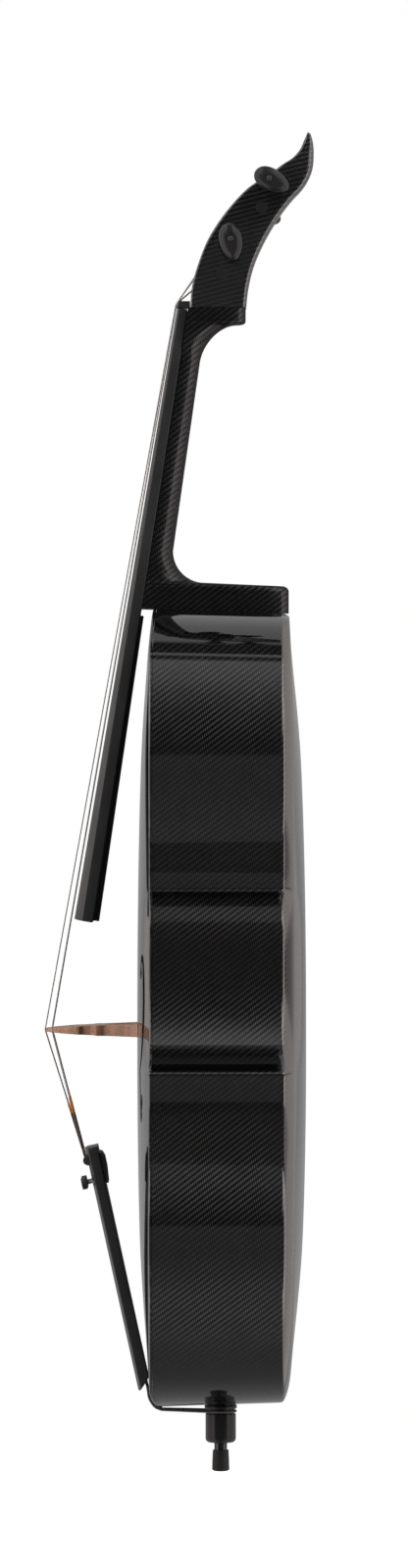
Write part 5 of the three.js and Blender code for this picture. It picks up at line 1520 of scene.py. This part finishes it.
SADDLE_STEPS = 24
SADDLE_INNER_SHARE = 0.04
SADDLE_STANDOFF = GAP + FRONT_ARCH * arch_share(BODY_BOTTOM + SADDLE_LENGTH, SADDLE_INNER_SHARE)
SADDLE_FACE = SADDLE_STANDOFF + SADDLE_THICKNESS
CORD_SIDES = 20
CORD_BEND = 1.5
CORD_FIRST_STEP = 10
LOOP_STEPS = 48
LOOP_START = 20


def beside_rim(share, standoff):
    """A point in front of the front edge's middle line, from the saddle's top to its bottom."""
    near = 1 / SADDLE_STEPS
    above = lambda s: BODY_BOTTOM + SADDLE_LENGTH * (1 - s)
    rim = lambda s: Vector((front_y(above(s), 0), above(s)))
    run = (rim(min(share + near, 1)) - rim(max(share - near, 0))).normalized()
    return rim(share) + Vector((run.y, -run.x)) * standoff


def make_saddle():
    section = [beside_rim(share, SADDLE_FACE) for share in span(0, 1, SADDLE_STEPS)]
    section += [beside_rim(share, SADDLE_STANDOFF) for share in span(1, 0, SADDLE_STEPS)]
    rings = [[(x, *point) for point in section] for x in (-SADDLE_WIDTH / 2, SADDLE_WIDTH / 2)]
    mesh = cut_mesh(loft(rings, ladder=False), [])
    bevel_mesh(mesh, SMALL_BEVEL, 3)
    dress("saddle_strip", mesh, board_black, ["saddle"])


def make_cord():
    half = CORD_SPREAD / 2
    side = lean([(half, CORD_HOLE_Y, CORD_HOLE_Z - GAP), (half, CORD_HOLE_Y, 0)])
    for k in range(CORD_FIRST_STEP, SADDLE_STEPS + 1, 2):
        side.append((half, *beside_rim(k / SADDLE_STEPS, SADDLE_FACE + GAP * 2 + CORD_RADIUS)))
    corner = beside_rim(1, SADDLE_FACE)
    side.append((half, corner.x + CORD_RADIUS / 2, corner.y - CORD_RADIUS - GAP * 2))
    loop = arc((0, 0), GROOVE_RADIUS + GAP + CORD_RADIUS, -LOOP_START, 180 + LOOP_START, LOOP_STEPS)
    groove_z = (COLLAR_TOP + FLANGE_BOTTOM) / 2
    path = side + [(x, y, groove_z) for x, y in loop] + [(-x, y, z) for x, y, z in side[::-1]]
    bar = tube(round_bends(path, CORD_BEND, 4), CORD_RADIUS, CORD_SIDES)
    dress("cord_loop", bar, cord_black, ["tail_cord"])


make_saddle()
make_cord()


# Endpin: socket with its flange and groove, lock collar, rod and rubber tip

PIN_STEPS = 96
ROD_STEPS = 64
DOME_STEPS = 12
FLANGE_EDGE_STEPS = 8
COLLAR_ROUND_STEPS = 14
COLLAR_EDGE_STEPS = 5
TIP_EDGE_STEPS = 6
BORE = ROD_RADIUS + GAP


def make_socket():
    low = COLLAR_TOP + GAP
    edge = FLANGE_RADIUS - FLANGE_ROUND
    profile = [(BORE, low), (GROOVE_RADIUS, low), (GROOVE_RADIUS, FLANGE_BOTTOM), (edge, FLANGE_BOTTOM)]
    profile += arc((edge, FLANGE_BOTTOM + FLANGE_ROUND), FLANGE_ROUND, -90, 0, FLANGE_EDGE_STEPS)
    profile += arc((edge, FLANGE_TOP - FLANGE_ROUND), FLANGE_ROUND, 0, 90, FLANGE_EDGE_STEPS)
    profile += [(SOCKET_RADIUS, FLANGE_TOP), (SOCKET_RADIUS, FLANGE_TOP + SOCKET_LENGTH)]
    profile += [(BORE, FLANGE_TOP + SOCKET_LENGTH)]
    dress("socket_flange", turned(profile, PIN_STEPS), pin_black, ["endpin_socket"])


def make_collar():
    inside = BORE + COLLET_WALL + GAP
    floor = COLLAR_TOP - COLLET_LENGTH - GAP
    profile = [(BORE, COLLAR_BOTTOM)]
    low_corner = COLLAR_RADIUS - COLLAR_ROUND, COLLAR_BOTTOM + COLLAR_ROUND
    profile += arc(low_corner, COLLAR_ROUND, -90, 0, COLLAR_ROUND_STEPS)
    high_corner = COLLAR_RADIUS - COLLAR_EDGE, COLLAR_TOP - COLLAR_EDGE
    profile += arc(high_corner, COLLAR_EDGE, 0, 90, COLLAR_EDGE_STEPS)
    profile += [(inside, COLLAR_TOP), (inside, floor), (BORE, floor)]
    solid = turned(profile, PIN_STEPS)
    dress("lock_collar", solid, pin_black, ["endpin_lock_collar"], "endpin_lock")


def make_pin():
    low = TIP_LENGTH - TIP_WALL
    top = low + ROD_LENGTH
    profile = [(0, low), (ROD_RADIUS, low), (ROD_RADIUS, top - ROD_CHAMFER)]
    profile += [(ROD_RADIUS - ROD_CHAMFER, top), (0, top)]
    dress("rod_tube", turned(profile, ROD_STEPS), rod_carbon, ["endpin_rod"], "endpin")
    profile = [(0, 0)]
    for sin, cos, _ in quarter(DOME_STEPS):
        profile.append((lerp(TIP_FLAT, TIP_RADIUS, sin), TIP_DOME * (1 - cos)))
    corner = TIP_TOP_RADIUS - TIP_EDGE, TIP_LENGTH - TIP_EDGE
    profile += arc(corner, TIP_EDGE, 0, 90, TIP_EDGE_STEPS)
    profile += [(BORE, TIP_LENGTH), (BORE, low - GAP), (0, low - GAP)]
    dress("rubber_tip", turned(profile, PIN_STEPS), rubber_black, ["endpin_tip"], "endpin")


make_socket()
make_collar()
make_pin()


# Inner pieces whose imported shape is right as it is

INNER_LOOKS = {
    "soundpost": spruce, "bass_bar": bar_carbon, "end_block": block_grey, "neck_block": block_grey,
    "endpin_collet": pin_black,
}
for node_name, look in INNER_LOOKS.items():
    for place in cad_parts[node_name].material_slots:
        place.link = "OBJECT"
        place.material = look


# Stage and light, in metres

FLOOR_SIZE = 8
FLOOR_DROP = 0.36
# Cards seen only in the gloss, which paint a darker reflection onto the waist.
NEAR_CARD_AWAY = 0.27
NEAR_CARD_REACH = 0.25
NEAR_CARD_HEIGHTS = (0.385, 0.505)
NEAR_CARD_GLOW = 0.1
NEAR_CARD_SOFT = 0.002
SIDE_CARD_AWAY = 0.5
SIDE_CARD_ENDS = (-0.5, 0.26)
SIDE_CARD_HEIGHTS = (0.37, 0.56)
SIDE_CARD_GLOW = 0.8
SIDE_CARD_SOFT = 0.085
FILL_PLACE = (3.2, -1.6, 2.4)
FILL_TARGET = (0, 0, 0.65)
FILL_SIZE = 2.2
FILL_POWER = 110
# The room as the ribs mirror it, by angle over the instrument from the camera's side: (degrees, strength).
ROOM_BANDS = (
    (-180, 0.35), (-150, 0.26), (-124, 0.22), (-98, 0.3), (-84, 0.36), (-48, 0.35), (-32, 0.32), (-14, 0.27),
    (9.4, 0.27), (10, 0.05), (36, 0.08), (50, 0.3), (56, 0.5), (64, 0.75), (80, 1.05), (82, 0.04),
    (85.5, 0.04), (86, 1.3), (88, 1.3), (88.5, 0.03), (99, 0.05), (102, 0.95), (140, 0.8), (180, 0.35),
)
# The room to either side, from its far wall at -1 to the camera's wall at 1: (place, strength).
SIDE_ROOM = (
    (-1, 0.35), (-0.94, 0.5), (-0.77, 0.9), (-0.5, 1.6), (-0.17, 2.2), (0.17, 2.8), (0.5, 5), (0.62, 6),
    (0.66, 0.1), (1, 0.1),
)
# Places across and up the room are shares of the way to its side wall and its ceiling.
BANDS_END_SHARES = (0.26, 0.34)
KEY_SHARES = (0.36, 0.5)
KEY_SOFT_SHARE = 0.03
KEY_HEIGHT_SHARES = (0.3, 0.42)
KEY_STRENGTH = 6
ROOM_LIGHT = 0.5
PLAIN = (1, 1, 1.015)
WARM = (1.06, 1, 0.97)
WHITE = colour((1, 1, 1))


def room_ramp(n, place, stops, tint):
    """Strengths along the room from stops of (share of the way, strength), in the tint given."""
    ramp = n.add("ShaderNodeValToRGB", {0: place})
    elements = ramp.color_ramp.elements
    while len(elements) < len(stops):
        elements.new(1)
    for element, (share, strength) in zip(elements, stops):
        element.position = share
        element.color = colour(tint, strength)
    return Value(n, ramp.outputs[0])


def light_room():
    """Pale room, dark on the camera's side but for its panels, with bright side walls and a key light."""
    world = bpy.data.worlds.new("studio")
    bpy.context.scene.world = world
    n = Nodes(world)
    x, y, z = n.split(n.value("ShaderNodeTexCoord", {}, "Generated"))
    around = n.math("DIVIDE", n.math("ARCTAN2", z, x), 2 * math.pi) + 0.5
    bands = room_ramp(n, around, [(angle / 360 + 0.5, strength) for angle, strength in ROOM_BANDS], PLAIN)
    depth = n.math("DIVIDE", x, 2) + 0.5
    side = room_ramp(n, depth, [((place + 1) / 2, strength) for place, strength in SIDE_ROOM], WARM)
    aside = n.math("ABSOLUTE", y)
    room = n.mix(n.ramp(aside, *BANDS_END_SHARES), bands, side)
    low, high = KEY_SHARES
    key = n.ramp(aside, low, low + KEY_SOFT_SHARE) * n.ramp(aside, high, high + KEY_SOFT_SHARE, 1, 0)
    key = key * n.ramp(z, *KEY_HEIGHT_SHARES) * n.ramp(x, 0, 0.1)
    room = n.mix(key, room, colour((1, 1, 1), KEY_STRENGTH))
    rays = lambda kind: n.value("ShaderNodeLightPath", {}, kind)
    room = n.mix(rays("Is Diffuse Ray"), room, colour((1, 1, 1), ROOM_LIGHT))
    room = n.mix(rays("Is Camera Ray"), room, WHITE)
    n.put({"Color": room, "Strength": 1}, n.tree.nodes["Background"])


def light_fill():
    """A broad lamp before the instrument, which the gloss doesn't mirror."""
    lamp = add_object("fill", bpy.data.lights.new("fill", "AREA"))
    lamp.data.shape = "DISK"
    lamp.data.size = FILL_SIZE
    lamp.data.energy = FILL_POWER
    lamp.location = FILL_PLACE
    lamp.rotation_euler = (Vector(FILL_TARGET) - Vector(FILL_PLACE)).to_track_quat("-Z", "Y").to_euler()
    lamp.visible_camera = False
    lamp.visible_glossy = False


def stage_sheet(name, corners, material):
    mesh = bpy.data.meshes.new(name)
    mesh.from_pydata(corners, [], [(0, 1, 2, 3)])
    mesh.materials.append(material)
    sheet = add_object(name, mesh)
    return sheet


def make_floor():
    """Floor for the camera alone, white but for the instrument's shadow."""
    n = Nodes(bpy.data.materials.new("floor"))
    n.put({
        "Base Color": colour((0.8, 0.8, 0.8)), "Roughness": 0.9, "Emission Color": WHITE,
        "Emission Strength": 0.55}, n.shader)
    n.show(n.value("ShaderNodeLightPath", {}, "Is Camera Ray"))
    half = FLOOR_SIZE / 2
    corners = ((-half, -half), (half, -half), (half, half), (-half, half))
    stage_sheet("floor", [(x, y, -FLOOR_DROP) for x, y in corners], n.owner)


# Painted reflection: each card darkens what the waist's gloss mirrors, and lights nothing.
def make_card(name, corners, glow, soft):
    """Card level with the waist that only mirrored rays meet. It is darker than the room, and fades out over
    the distance given at its top and bottom.
    """
    n = Nodes(bpy.data.materials.new(name))
    low, high = corners[0][2], corners[-1][2]
    from_middle = n.math("ABSOLUTE", n.split(n.place())[2] - (low + high) / 2)
    reach = (high - low) / 2
    n.put({
        "Base Color": colour((0, 0, 0)), "Specular IOR Level": 0, "Emission Color": colour(WARM),
        "Emission Strength": glow}, n.shader)
    n.show(n.ramp(from_middle, reach - soft, reach, 1, 0))
    card = stage_sheet(name, corners, n.owner)
    for rays in ("camera", "diffuse", "shadow", "transmission", "volume_scatter"):
        setattr(card, "visible_" + rays, False)


def make_cards():
    low, high = NEAR_CARD_HEIGHTS
    reach = NEAR_CARD_REACH
    ring = ((-reach, low), (reach, low), (reach, high), (-reach, high))
    make_card("card_near", [(NEAR_CARD_AWAY, y, z) for y, z in ring], NEAR_CARD_GLOW, NEAR_CARD_SOFT)
    low, high = SIDE_CARD_HEIGHTS
    far, near = SIDE_CARD_ENDS
    ring = ((far, low), (near, low), (near, high), (far, high))
    for name, y in (("card_back", SIDE_CARD_AWAY), ("card_front", -SIDE_CARD_AWAY)):
        make_card(name, [(x, y, z) for x, z in ring], SIDE_CARD_GLOW, SIDE_CARD_SOFT)


light_room()
make_floor()
make_cards()
light_fill()
bpy.context.scene.view_settings.view_transform = "Standard"
